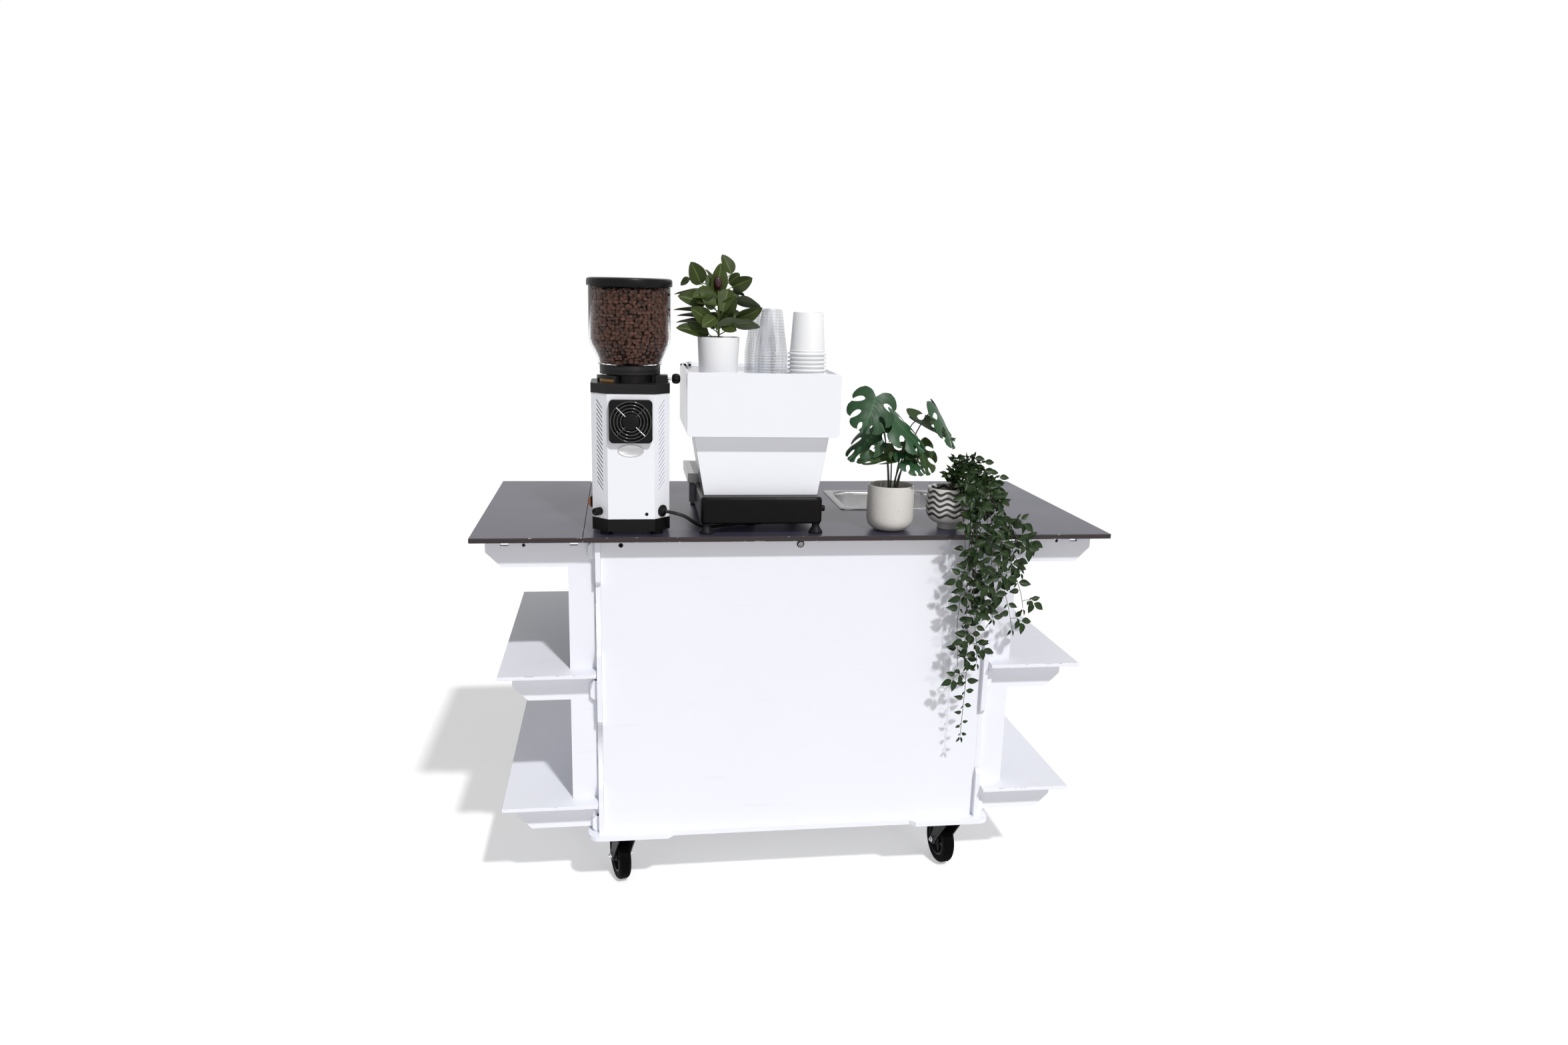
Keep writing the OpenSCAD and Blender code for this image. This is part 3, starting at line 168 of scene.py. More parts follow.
def lofted(name, rings, loop=False, angle=40):  # rings of equal count, each bridged to the next
    count = len(rings[0])
    points = [p for ring in rings for p in ring]
    last = len(rings) if loop else len(rings) - 1
    faces = []
    for i in range(last):
        j = (i + 1) % len(rings)
        for k in range(count):
            n = (k + 1) % count
            faces.append((i * count + k, i * count + n, j * count + n, j * count + k))
    if not loop:
        faces.append(tuple(range(count)))
        faces.append(tuple(range((len(rings) - 1) * count, len(rings) * count)))
    return smoothed(faceOut(drawn(name, points, faces)), angle)


def block(name, size, at, turn=None, bevel=0, segments=2):  # a cube primitive with softened edges, in millimetres
    activate()
    bpy.ops.mesh.primitive_cube_add(size=1)
    piece = bpy.context.object
    piece.scale = Vector(size) * mm
    settle(piece, name)
    if bevel:
        bevelled(piece, bevel, segments)
    if turn is not None:
        piece.data.transform(turn.to_4x4())
    piece.data.transform(Matrix.Translation(at))
    return piece


toFront = (math.pi / 2, 0, 0)  # a turn that lays an upright bar along the depth


def bar(name, sides, radius, depth, at=(0, 0, 0), turn=(0, 0, 0)):  # a prism, in millimetres
    activate()
    bpy.ops.mesh.primitive_cylinder_add(vertices=sides, radius=radius * mm, depth=depth * mm, rotation=turn,
                                        location=at)
    return settle(bpy.context.object, name)


def tube(name, runs, radius, sides, kind):  # a curve with a round section through each run of points, in metres
    curve = bpy.data.curves.new(name, "CURVE")
    curve.dimensions = "3D"
    curve.bevel_depth = radius
    curve.bevel_resolution = sides
    curve.use_fill_caps = True
    for points in runs:
        spline = curve.splines.new(kind)
        spline.points.add(len(points) - 1)
        for i, point in enumerate(points):
            spline.points[i].co = (*point, 1)
    return linked(name, curve)


def rods(name, runs, radius, sides=3, tip=1.0):  # round bars that narrow to their tips, as one piece
    piece = tube(name, runs, radius, sides, "NURBS")
    for spline in piece.data.splines:
        last = len(spline.points) - 1
        for i, point in enumerate(spline.points):
            point.radius = 1 + (tip - 1) * i / last
        spline.order_u = min(4, last + 1)
        spline.use_endpoint_u = True
        spline.resolution_u = 5
    activate(piece)
    bpy.ops.object.convert(target="MESH")
    return smoothed(faceOut(bpy.context.object), 60)


def rod(name, points, radius, sides=3, tip=1.0):
    return rods(name, [points], radius, sides, tip)


def softened(node, name, width, *materials, segments=2, angle=30, cutters=()):
    # a copy of a construction solid, its loose triangles merged, cut where cutters stand, and its edges eased
    piece = linked(name, nodes[node].data.copy())
    piece.data.name = name
    piece.data.materials.clear()
    edit(piece)
    bpy.ops.mesh.remove_doubles(threshold=0.00002)
    bpy.ops.mesh.dissolve_limited(angle_limit=math.radians(1))
    leaveEdit()
    for cutter in cutters:
        modifier = piece.modifiers.new("cut", "BOOLEAN")
        modifier.operation, modifier.solver, modifier.object = "DIFFERENCE", "EXACT", cutter
        applyAll(piece)
        bpy.data.objects.remove(cutter)
    return bevelled(dressed(piece, *materials), width, segments, angle)


def repeated(name, template, places):
    # copies of one small mesh, each with its own shade number, as one piece
    source = template.data
    base = [v.co.copy() for v in source.vertices]
    polygons = [tuple(p.vertices) for p in source.polygons]
    layer = source.uv_layers.active
    corners = [tuple(c.uv) for c in layer.data] if layer else []
    points, faces, uvs, shades = [], [], [], []
    for place in places:
        start = len(points)
        shade = dice.random()
        points += [place @ p for p in base]
        faces += [tuple(start + i for i in p) for p in polygons]
        uvs += corners
        shades += [shade] * len(base)
    piece = drawn(name, points, faces)
    if corners:
        target = piece.data.uv_layers.new(name="leafMap")
        target.data.foreach_set("uv", [c for uv in uvs for c in uv])
    piece.data.attributes.new("shade", "FLOAT", "POINT").data.foreach_set("value", shades)
    return smoothed(piece, 60)


def dressed(piece, *materials):
    piece.data.materials.clear()
    for material in materials:
        piece.data.materials.append(material)
    return piece


def fitted(piece, body, slot, *replaced):
    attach(piece, body)
    if replaced:
        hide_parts(*replaced)
    return piece


def eased(node, name, width, material, body, slot, segments=2):  # a construction solid with eased edges, as a piece
    fitted(softened(node, name, width, material, segments=segments), body, slot, node)


def axes(along, across, origin):  # a place whose X runs along, whose Y runs across and whose Z is their normal
    u = Vector(along).normalized()
    v = Vector(across)
    v = (v - v.dot(u) * u).normalized()
    w = u.cross(v)
    place = Matrix((u, v, w)).transposed().to_4x4()
    place.translation = origin
    return place


def feed(socket, value):
    if isinstance(value, Wire):
        socket.id_data.links.new(value.socket, socket)
    elif socket.type == "RGBA" and len(value) == 3:
        socket.default_value = (*value, 1)
    else:
        socket.default_value = value


class Wire:  # one socket of a material; arithmetic on it adds Math nodes
    def __init__(self, socket):
        self.socket = socket

    def make(self, kind, settings=None, sockets=None, out=0):
        node = self.socket.id_data.nodes.new("ShaderNode" + kind)
        for key, value in (settings or {}).items():
            setattr(node, key, value)
        for key, value in (sockets or {}).items():
            feed(node.inputs[key], value)
        return Wire(node.outputs[out])

    def math(self, operation, other=None, swap=False):
        pair = (other, self) if swap else (self, other)
        return self.make("Math", {"operation": operation}, {i: v for i, v in enumerate(pair) if v is not None})

    def __add__(self, other):
        return self.math("ADD", other)

    def __sub__(self, other):
        return self.math("SUBTRACT", other)

    def __rsub__(self, other):
        return self.math("SUBTRACT", other, True)

    def __mul__(self, other):
        return self.math("MULTIPLY", other)

    def __truediv__(self, other):
        return self.math("DIVIDE", other)

    def __abs__(self):
        return self.math("ABSOLUTE")

    __radd__ = __add__
    __rmul__ = __mul__

    def band(self, low, high):  # 0 below low, 1 above high
        return self.make("MapRange", {"interpolation_type": "SMOOTHSTEP"}, {0: self, 1: low, 2: high})

    def noise(self, scale, detail=3, rough=0.55):
        return self.make("TexNoise", None, {"Vector": self, "Scale": scale, "Detail": detail, "Roughness": rough})

    def stretched(self, by):
        return self.make("VectorMath", {"operation": "MULTIPLY"}, {0: self, 1: by})

    def centred(self, at):
        return self.make("VectorMath", {"operation": "SUBTRACT"}, {0: self, 1: at})

    def axis(self, number):
        return self.make("SeparateXYZ", None, {0: self}, number)

    def between(self, first, second):  # a colour between two, by this value
        return self.make("Mix", {"data_type": "RGBA"}, {0: self, 6: first, 7: second}, 2)

    def bump(self, strength, distance):
        return self.make("Bump", None, {"Strength": strength, "Distance": distance, "Height": self})

    def attribute(self, name):
        return self.make("Attribute", {"attribute_name": name}, None, 2)

    def leafMap(self):
        return self.make("UVMap", {"uv_map": "leafMap"})


def begin(name):
    material = bpy.data.materials.new(name)
    material.use_nodes = True
    tree = material.node_tree
    coords = Wire(tree.nodes.new("ShaderNodeTexCoord").outputs["Object"])
    return material, tree.nodes["Principled BSDF"], coords


def dress(shader, values):
    for key, value in values.items():
        feed(shader.inputs[key], value)


paint = {"light": (0.85, 0.86, 0.92), "dim": (0.81, 0.82, 0.885), "scuff": (0.66, 0.65, 0.66),
         "wood": (0.28, 0.19, 0.15), "rough": 0.42, "chipFrom": 0.55, "chipTo": 0.61}


def toned(colour, by):
    return tuple(c * by for c in colour)


def boardPaint(name, worn):
    material, shader, coords = begin(name)
    cloud = coords.noise(2.4)
    rubbed = coords.stretched((7, 7, 70)).noise(1.0, 4).band(0.63, 0.8)
    colour = cloud.between(paint["dim"], paint["light"])
    colour = (rubbed * 0.22).between(colour, paint["scuff"])
    if worn:
        chips = (coords.noise(31, 4) * 0.65 + coords.noise(170, 2) * 0.35).band(paint["chipFrom"], paint["chipTo"])
        colour = (chips * 0.85).between(colour, paint["wood"])
    fine = coords.noise(620, 2)
    dress(shader, {"Base Color": colour, "Roughness": cloud * 0.14 + (paint["rough"] - 0.07),
                   "Normal": fine.bump(0.1, 0.0004)})
    return material


film = {"deep": (0.019, 0.018, 0.026), "warm": (0.032, 0.03, 0.04), "edgeDark": (0.01, 0.008, 0.008),
        "edgeLight": (0.045, 0.03, 0.025), "bare": (0.42, 0.38, 0.35), "rough": 0.3, "layer": 1.5,
        "sheen": (0.5, 0.5, 1.0)}


def boardFilm(name, worn):
    material, shader, coords = begin(name)
    cloud = coords.noise(5.5, 4)
    grain = coords.stretched((14, 330, 330)).noise(1.0, 3)
    fine = coords.noise(430, 2)
    colour = (cloud * 0.7 + grain * 0.3).between(film["deep"], film["warm"])
    side = (1 - abs(coords.make("NewGeometry", out=1).axis(2))).band(0.3, 0.75)
    layers = (coords.axis(2) * (1000 / film["layer"])).math("PINGPONG", 1.0).band(0.3, 0.7)
    colour = side.between(colour, (layers * 0.5 + grain * 0.4).between(film["edgeDark"], film["edgeLight"]))
    bare = coords.noise(26, 4) * 0.6 + coords.noise(120, 2) * 0.4
    chips = bare.band(0.58, 0.63) if worn else bare.band(0.66, 0.7) * side
    colour = (chips * 0.9).between(colour, film["bare"])
    dress(shader, {"Base Color": colour, "Roughness": cloud * 0.08 + film["rough"] + side * 0.2,
                   "Specular IOR Level": 0.42,
                   "Specular Tint": (0.89, 0.89, 1), "Sheen Weight": 0.12, "Sheen Roughness": 0.4,
                   "Sheen Tint": film["sheen"],
                   "Normal": (grain * 0.25 + fine * 0.75).bump(0.06, 0.0004)})
    return material


def streakedSteel(name, stretch, low, high):
    material, shader, coords = begin(name)
    # streaks along one axis: brushing marks on the rim and the tray; on the bowl they are broad painted reflection
    # bands
    streak = coords.stretched(stretch).noise(1.0, 3)
    cloud = coords.noise(9, 3)
    dark, light = (low, low, low * 1.02), (high, high, high * 1.01)
    dress(shader, {"Base Color": (streak * 0.5 + cloud * 0.5).between(dark, light), "Metallic": 1.0,
                   "Roughness": streak * 0.14 + 0.2, "Normal": streak.bump(0.08, 0.0003)})
    return material


def polishedSteel(name, low, high, rough=0.06):
    material, shader, coords = begin(name)
    cloud = coords.noise(60, 3)
    dress(shader, {"Base Color": cloud.between((low, low, low * 1.03), (high, high, high * 1.02)), "Metallic": 1.0,
                   "Roughness": cloud * 0.1 + rough, "Normal": coords.noise(300, 2).bump(0.03, 0.0002)})
    return material


def blackFinish(name, tone, rough, grain, height, dust=0.05, shine=0.15):
    material, shader, coords = begin(name)
    cloud = coords.noise(14, 4)
    fine = coords.noise(grain, 2)
    dark = (cloud * 0.6 + fine * 0.4).between(toned(tone, 0.75), toned(tone, 1.3))
    colour = (coords.noise(45, 5).band(0.6, 0.85) * dust).between(dark, (0.22, 0.2, 0.19))
    dress(shader, {"Base Color": colour, "Roughness": cloud * 0.18 + (rough - 0.09), "Specular IOR Level": shine,
                   "Normal": fine.bump(height, 0.0004)})
    return material


def enamel(name, tone):
    material, shader, coords = begin(name)
    cloud = coords.noise(4.5, 3)
    peel = coords.noise(260, 2)
    dress(shader, {"Base Color": cloud.between(toned(tone, 0.965), tone), "Roughness": cloud * 0.1 + 0.2,
                   "Normal": peel.bump(0.05, 0.0003), "Coat Weight": 0.3, "Coat Roughness": 0.08})
    return material


def brassPlate(name):
    material, shader, coords = begin(name)
    streak = coords.stretched((60, 60, 900)).noise(1.0, 3)
    # painted shade: both brass tones are kept dark, for the shade that the collar above casts on the sector
    dress(shader, {"Base Color": streak.between((0.1, 0.058, 0.022), (0.24, 0.15, 0.06)), "Metallic": 1.0,
                   "Roughness": streak * 0.15 + 0.2, "Normal": streak.bump(0.06, 0.0002)})
    return material


def clearPlastic(name, tone, rough):
    material, shader, coords = begin(name)
    haze = coords.noise(24, 4).band(0.35, 0.8)
    dress(shader, {"Base Color": haze.between(tone, toned(tone, 0.94)), "Roughness": haze * 0.06 + rough,
                   "Transmission Weight": 1.0, "IOR": 1.2, "Specular Tint": (0.14, 0.14, 0.14),
                   "Normal": coords.noise(55, 2).bump(0.02, 0.0004)})
    return material


def milkyPlastic(name, tone, cover):
    material, shader, coords = begin(name)
    streak = coords.stretched((75, 75, 2)).noise(1.0, 2).band(0.36, 0.64)  # upright bands of painted highlight and painted shade, lighter and clearer in turn, for the upright reflections on the cups
    ribs = (coords.axis(2) * 303).math("PINGPONG", 1.0).band(0.2, 0.8)  # one turn of the edge every 6.6 mm; the lighter and darker lines there are painted light and shade on the nested rims
    dress(shader, {"Base Color": (streak * 0.75 + ribs * 0.25).between(toned(tone, 0.4), toned(tone, 1.7)),
                   "Roughness": streak * 0.1 + 0.1, "Alpha": streak * -0.2 + ribs * -0.06 + cover,
                   "Normal": coords.noise(55, 2).bump(0.02, 0.0004)})
    return material


def roasted(name):
    material, shader, coords = begin(name)
    shade = coords.attribute("shade")
    mottle = coords.noise(420, 3)
    colour = (shade * 0.65 + mottle * 0.35).between((0.025, 0.01, 0.008), (0.145, 0.062, 0.039))
    dress(shader, {"Base Color": colour, "Roughness": mottle * 0.2 + 0.34, "Specular IOR Level": 0.3,
                   "Normal": mottle.bump(0.2, 0.0004)})
    return material


def bark(name):
    material, shader, coords = begin(name)
    crumb = coords.noise(210, 4)
    chip = coords.make("TexVoronoi", None, {"Vector": coords, "Scale": 240.0})
    dress(shader, {"Base Color": crumb.between((0.016, 0.01, 0.007), (0.11, 0.07, 0.045)), "Roughness": 0.85,
                   "Normal": (crumb * 0.6 + chip * 0.4).bump(0.7, 0.002)})
    return material


def oiledWood(name):
    material, shader, coords = begin(name)
    grain = coords.stretched((500, 40, 500)).noise(1.0, 4)
    rings = (coords.stretched((90, 8, 90)).noise(1.0, 2) * 9).math("PINGPONG", 1.0)
    dress(shader, {"Base Color": (grain * 0.5 + rings * 0.5).between((0.11, 0.05, 0.025), (0.33, 0.18, 0.09)),
                   "Roughness": grain * 0.2 + 0.32, "Normal": grain.bump(0.12, 0.0003)})
    return material


def speckled(name, light, dim, speck, amount):
    material, shader, coords = begin(name)
    cloud = coords.noise(16, 4)
    dots = coords.noise(520, 1).band(0.70 - amount, 0.76 - amount)
    grit = coords.noise(1500, 1)
    colour = (dots * 0.55).between(cloud.between(dim, light), speck)
    dress(shader, {"Base Color": colour, "Roughness": cloud * 0.16 + 0.4,
                   "Normal": (grit * 0.7 + cloud * 0.3).bump(0.12, 0.0004)})
    return material


waves = {"at": bench(376, 86, 0), "lines": 5, "pitch": 13.8, "first": 39.0, "swing": 3.4, "turns": 9, "half": 3.4}


def waveGlaze(name):
    material, shader, coords = begin(name)
    local = coords.centred(waves["at"])
    angle = local.axis(1).math("ARCTAN2", local.axis(0))
    height = local.axis(2) * 1000 + coords.noise(30, 2) * 2.2
    lift = (angle * waves["turns"]).math("SINE") * waves["swing"] + (angle * 4 + 1.1).math("SINE") * 0.7
    steps = (height - lift - waves["first"]) / waves["pitch"]
    gap = abs(steps - steps.math("ROUND")) * waves["pitch"]
    ink = 1 - gap.band(waves["half"] - 0.35, waves["half"] + 0.35)
    inside = steps.band(-0.3, -0.25) * (1 - steps.band(waves["lines"] - 0.75, waves["lines"] - 0.7))
    cloud = coords.noise(20, 4)
    dots = coords.noise(480, 1).band(0.66, 0.72)
    body = (dots * 0.4).between(cloud.between((0.6, 0.59, 0.57), (0.72, 0.71, 0.69)), (0.25, 0.23, 0.21))
    dress(shader, {"Base Color": (ink * inside * 0.97).between(body, (0.009, 0.008, 0.008)),
                   "Roughness": cloud * 0.14 + 0.38,
                   "Normal": coords.noise(900, 1).bump(0.1, 0.0003)})
    return material


def leafSkin(name, upper, lower, rib, gloss, veins, lean, shine=0.35, paintedSheen=0.0):
    # veins run from the midrib towards the tip on the leaf's own map: across 0 to 1 (2 to 3 underneath), along 0 to 1
    material, shader, coords = begin(name)
    chart = coords.leafMap()
    under = chart.axis(0).band(1.4, 1.6)
    off = abs(chart.axis(0) - 0.5 - under * 2) * 2
    along = chart.axis(1)
    shade = coords.attribute("shade")
    cloud = coords.noise(60, 4)
    ribMask = 1 - off.band(0.03, 0.09)
    stripe = ((along - off * lean) * veins).math("PINGPONG", 0.5)
    veinMask = (1 - stripe.band(0.02, 0.09)) * (1 - off.band(0.75, 0.98)) * 0.5
    tone = cloud * 0.55 + shade * 0.45
    face = tone.between(toned(upper, 0.5), toned(upper, 1.5))
    # painted sheen: leaves whose shade number falls high turn pale blue-grey, for the sheen on glossy leaves
    if paintedSheen:
        face = (shade.band(0.72, 0.9) * paintedSheen).between(face, (0.15, 0.19, 0.12))
    back = tone.between(toned(lower, 0.8), lower)
    face = under.between(face, back)
    face = (ribMask * 0.6 + veinMask * 0.3).math("MINIMUM", 1.0).between(face, rib)
    dress(shader, {"Base Color": face, "Roughness": cloud * 0.16 + gloss + under * 0.2, "Specular IOR Level": shine,
                   "Normal": (stripe.band(0.0, 0.2) * 0.6 + cloud * 0.4).bump(0.25, 0.0008)})
    return material


def stalkSkin(name, light, dark):
    material, shader, coords = begin(name)
    streak = coords.stretched((160, 160, 30)).noise(1.0, 3)
    dress(shader, {"Base Color": streak.between(dark, light), "Roughness": 0.5, "Normal": streak.bump(0.15, 0.0004)})
    return material


def card(name, tone):
    material, shader, coords = begin(name)
    fibre = coords.noise(380, 3)
    dress(shader, {"Base Color": fibre.between(toned(tone, 0.97), tone), "Roughness": fibre * 0.1 + 0.38,
                   "Normal": fibre.bump(0.05, 0.0003)})
    return material


boardWhite = boardPaint("boardWhite", False)
boardWorn = boardPaint("boardWorn", True)
filmDark = boardFilm("filmDark", False)
filmWorn = boardFilm("filmWorn", True)
# painted dark reflection: the rim's steel is kept dark, so that it does not mirror the white surroundings
rimSteelPaintedDark = streakedSteel("rimSteelPaintedDark", (30, 700, 700), 0.16, 0.24)
# painted reflection: the bowl's steel runs in broad bands from dark grey to white, for the reflections on its wall
bowlSteelPaintedReflection = streakedSteel("bowlSteelPaintedReflection", (17, 4, 4), 0.28, 1.0)
traySteel = streakedSteel("traySteel", (700, 25, 700), 0.2, 0.28)
chrome = polishedSteel("chrome", 0.62, 0.74)
# painted dark reflection: the guard's chrome is given an almost black colour, for the dark surroundings it mirrors
guardChromePaintedDark = polishedSteel("guardChromePaintedDark", 0.05, 0.11)
plateSilver = polishedSteel("plateSilver", 0.5, 0.58, 0.3)
boltSteel = polishedSteel("boltSteel", 0.26, 0.34, 0.2)
casterBlack = blackFinish("casterBlack", (0.008, 0.008, 0.009), 0.4, 500, 0.12, 0.1, 0.2)
capBlack = blackFinish("capBlack", (0.011, 0.01, 0.01), 0.38, 700, 0.1, 0.03, 0.2)
plasticBlack = blackFinish("plasticBlack", (0.005, 0.005, 0.0055), 0.34, 900, 0.12, 0.02, 0.14)
glossBlack = blackFinish("glossBlack", (0.0042, 0.0036, 0.0035), 0.3, 600, 0.06, 0.02, 0.1)
footRubber = blackFinish("footRubber", (0.007, 0.007, 0.009), 0.5, 800, 0.2, 0.05, 0.15)
tyreRubber = blackFinish("tyreRubber", (0.0022, 0.0021, 0.0023), 0.66, 350, 0.25, 0.0, 0.04)
cordSheath = blackFinish("cordSheath", (0.005, 0.005, 0.0055), 0.35, 900, 0.1, 0.02, 0.3)
enamelWhite = enamel("enamelWhite", (0.86, 0.87, 0.925))
brass = brassPlate("brass")
hopperClear = clearPlastic("hopperClear", (0.95, 0.96, 0.97), 0.03)
cupClear = milkyPlastic("cupClear", (0.48, 0.5, 0.55), 0.5)
beanSkin = roasted("beanSkin")
# painted shade: a dark brown core inside the bean pile, for the shade in the gaps between the beans
beanGapPaintedShade = blackFinish("beanGapPaintedShade", (0.014, 0.006, 0.004), 0.6, 400, 0.2, 0.0, 0.1)
legGrey = blackFinish("legGrey", (0.26, 0.26, 0.29), 0.5, 800, 0.1, 0.05, 0.2)
potBark = bark("potBark")
paddleWood = oiledWood("paddleWood")
creamGlaze = speckled("creamGlaze", (0.66, 0.64, 0.62), (0.58, 0.56, 0.53), (0.28, 0.23, 0.18), 0.05)
wavePot = waveGlaze("wavePot")
potWhite = speckled("potWhite", (0.86, 0.865, 0.885), (0.82, 0.825, 0.845), (0.7, 0.7, 0.71), 0.0)
broadSkin = leafSkin("broadSkin", (0.035, 0.052, 0.01), (0.08, 0.1, 0.06), (0.13, 0.2, 0.045), 0.42, 8, 0.42, 0.2,
                     0.5)
splitSkin = leafSkin("splitSkin", (0.016, 0.062, 0.02), (0.024, 0.05, 0.008), (0.04, 0.12, 0.04), 0.34, 10, 0.35, 0.3)
vineSkin = leafSkin("vineSkin", (0.0115, 0.028, 0.005), (0.02, 0.036, 0.011), (0.04, 0.095, 0.02), 0.3, 5, 0.4, 0.26)
stalkLight = stalkSkin("stalkLight", (0.22, 0.32, 0.07), (0.06, 0.1, 0.03))
stalkDark = stalkSkin("stalkDark", (0.05, 0.06, 0.045), (0.018, 0.024, 0.018))
twigBrown = stalkSkin("twigBrown", (0.06, 0.055, 0.035), (0.025, 0.024, 0.017))
budSkin = blackFinish("budSkin", (0.03, 0.004, 0.007), 0.26, 300, 0.05, 0.0, 0.4)
cardWhite = card("cardWhite", (0.87, 0.875, 0.89))
switchOrange = card("switchOrange", (0.85, 0.2, 0.03))
# painted light and painted shade for the louvres: a grey-blue inlay on the lit side and a dark one on the shaded side
louvrePaintedLight = card("louvrePaintedLight", (0.4, 0.41, 0.5))
louvrePaintedShade = blackFinish("louvrePaintedShade", (0.06, 0.058, 0.066), 0.6, 800, 0.1, 0.0, 0.1)
print("finishes ready:", len(bpy.data.materials))

view = {"place": (-0.41917, -2.82437, 1.49517), "pitch": 0.234477, "roll": 0.0261551, "yaw": -0.150444,
        "lens": 24.917, "shift": (-0.000367, 0.017153)}
light = {"sky": 0.33, "floor": 0.82, "cloud": 0.01, "lift": 0.35, "fadeFrom": 1.5, "fadeTo": 2.6,
         "lamps": {"key": (2.29, 3.0, (0.9, -2.4, 2.8), (1, 1, 1)),
                   "side": (0.3, 3.5, (1.0, -2.2, 0.45), (1, 0.94, 0.88))}}


def addCamera():
    p, r, y = view["pitch"], view["roll"], view["yaw"]
    ahead = Vector((-math.sin(y) * math.cos(p), math.cos(y) * math.cos(p), -math.sin(p)))
    right = Vector((math.cos(y), math.sin(y), 0))
    up = right.cross(ahead)
    side = math.cos(r) * right + math.sin(r) * up
    top = math.cos(r) * up - math.sin(r) * right
    data = bpy.data.cameras.new("cartCamera")
    data.lens, data.sensor_width = view["lens"], 36
    data.shift_x, data.shift_y = view["shift"]
    data.clip_end = 100
    camera = linked("cartCamera", data)
    place = Matrix((side, top, -ahead)).transposed().to_4x4()
    place.translation = view["place"]
    camera.matrix_world = place
    scene.camera = camera


def pale(tree):  # 1 for what the lens sees, straight, mirrored or through glass
    path = tree.nodes.new("ShaderNodeLightPath").outputs
    straight, mirrored, through = (Wire(path["Is " + way + " Ray"]) for way in ("Camera", "Glossy", "Transmission"))
    return straight.math("MAXIMUM", mirrored).math("MAXIMUM", through)


def addLight():
    world = bpy.data.worlds.new("studio")
    world.use_nodes = True
    scene.world = world
    backdrop = world.node_tree.nodes["Background"]
    feed(backdrop.inputs["Color"], (1, 1, 1))
    feed(backdrop.inputs["Strength"], pale(world.node_tree) * (1 - light["sky"]) + light["sky"])
    for name, (energy, angle, source, colour) in light["lamps"].items():
        lamp = bpy.data.lights.new(name, "SUN")
        lamp.energy, lamp.angle, lamp.color = energy, math.radians(angle), colour
        sun = linked(name, lamp)
        sun.rotation_euler = Vector(source).to_track_quat("Z", "Y").to_euler()


def addFloor():
    activate()
    bpy.ops.mesh.primitive_grid_add(x_subdivisions=8, y_subdivisions=8, size=30)
    floor = settle(bpy.context.object, "floor")
    material, shader, coords = begin("floorPaper")
    tree = material.node_tree
    cloud = coords.noise(1.5, 2)
    dim, bright = (light["floor"],) * 3, (light["floor"] + light["cloud"],) * 3
    seen = pale(tree)
    dress(shader, {"Base Color": cloud.between(dim, bright), "Roughness": 0.9,
                   "Emission Color": seen.between((0, 0, 0), (1, 1, 1)), "Emission Strength": light["lift"]})
    away = coords.make("VectorMath", {"operation": "LENGTH"}, {0: coords}, 1)
    glow = coords.make("Emission", None, {"Color": (1, 1, 1), "Strength": 1.0})
    mixed = coords.make("MixShader", None, {0: away.band(light["fadeFrom"], light["fadeTo"]) * seen,
                                            1: Wire(shader.outputs[0]), 2: glow})
    tree.links.new(mixed.socket, tree.nodes["Material Output"].inputs["Surface"])
    dressed(floor, material)


addCamera()
addLight()
addFloor()
print("camera, light and floor ready")

# the grinder's cord, on the route of its solid
cordSet = {"diameter": 0.008, "tip": (-323.373, -327.277, 986.0), "lift": 934.3, "bend": 34, "down": 50, "turn": 25,
           "tail": 16,
           "route": [(0, 0, 0), (12, -12, 0), (28, -18, -3), (46, -13, -11), (62, 0, -24), (78, 20, -37),
                     (94, 42, -46), (114, 60, -50), (142, 78, -52), (175, 95, -52), (205, 109, -52)]}


def throughPoints(points, steps):  # a smooth run through every point
    run = []
    for i in range(len(points) - 1):
        a, b, c, d = (points[max(i - 1, 0)], points[i], points[i + 1], points[min(i + 2, len(points) - 1)])
        for k in range(steps):
            t = k / steps
            run.append(0.5 * (2 * b + (c - a) * t + (2 * a - 5 * b + 4 * c - d) * t * t
                              + (3 * b - a - 3 * c + d) * t ** 3))
    return run


def addCord():
    tip = Vector(cordSet["tip"])
    run = [tip + Vector(p) for p in cordSet["route"]]
    for p in run:
        p.z = max(p.z, cordSet["lift"])
    points = throughPoints(run, 3)
    turn = math.radians(cordSet["turn"])
    way = Vector((math.cos(turn), math.sin(turn), 0))
    lip, bend = run[-1], cordSet["bend"]
    for a in range(0, cordSet["down"] + 1, 10):
        s, c = math.sin(math.radians(a)), math.cos(math.radians(a))
        points.append(lip + bend * s * way - Vector((0, 0, bend * (1 - c))))
    s, c = math.sin(math.radians(cordSet["down"])), math.cos(math.radians(cordSet["down"]))
    points.append(points[-1] + cordSet["tail"] * (c * way - Vector((0, 0, s))))
    points = [p * mm for p in points]
    piece = dressed(tube("grinderCord", [points], cordSet["diameter"] / 2, 5, "POLY"), cordSheath)
    piece.data.splines[0].use_smooth = True
    length = sum((points[i + 1] - points[i]).length for i in range(len(points) - 1))
    fitted(piece, "cart", "foot_rubber", "grinder_cord")
    print("cord laid:", round(length, 3), "m")


addCord()

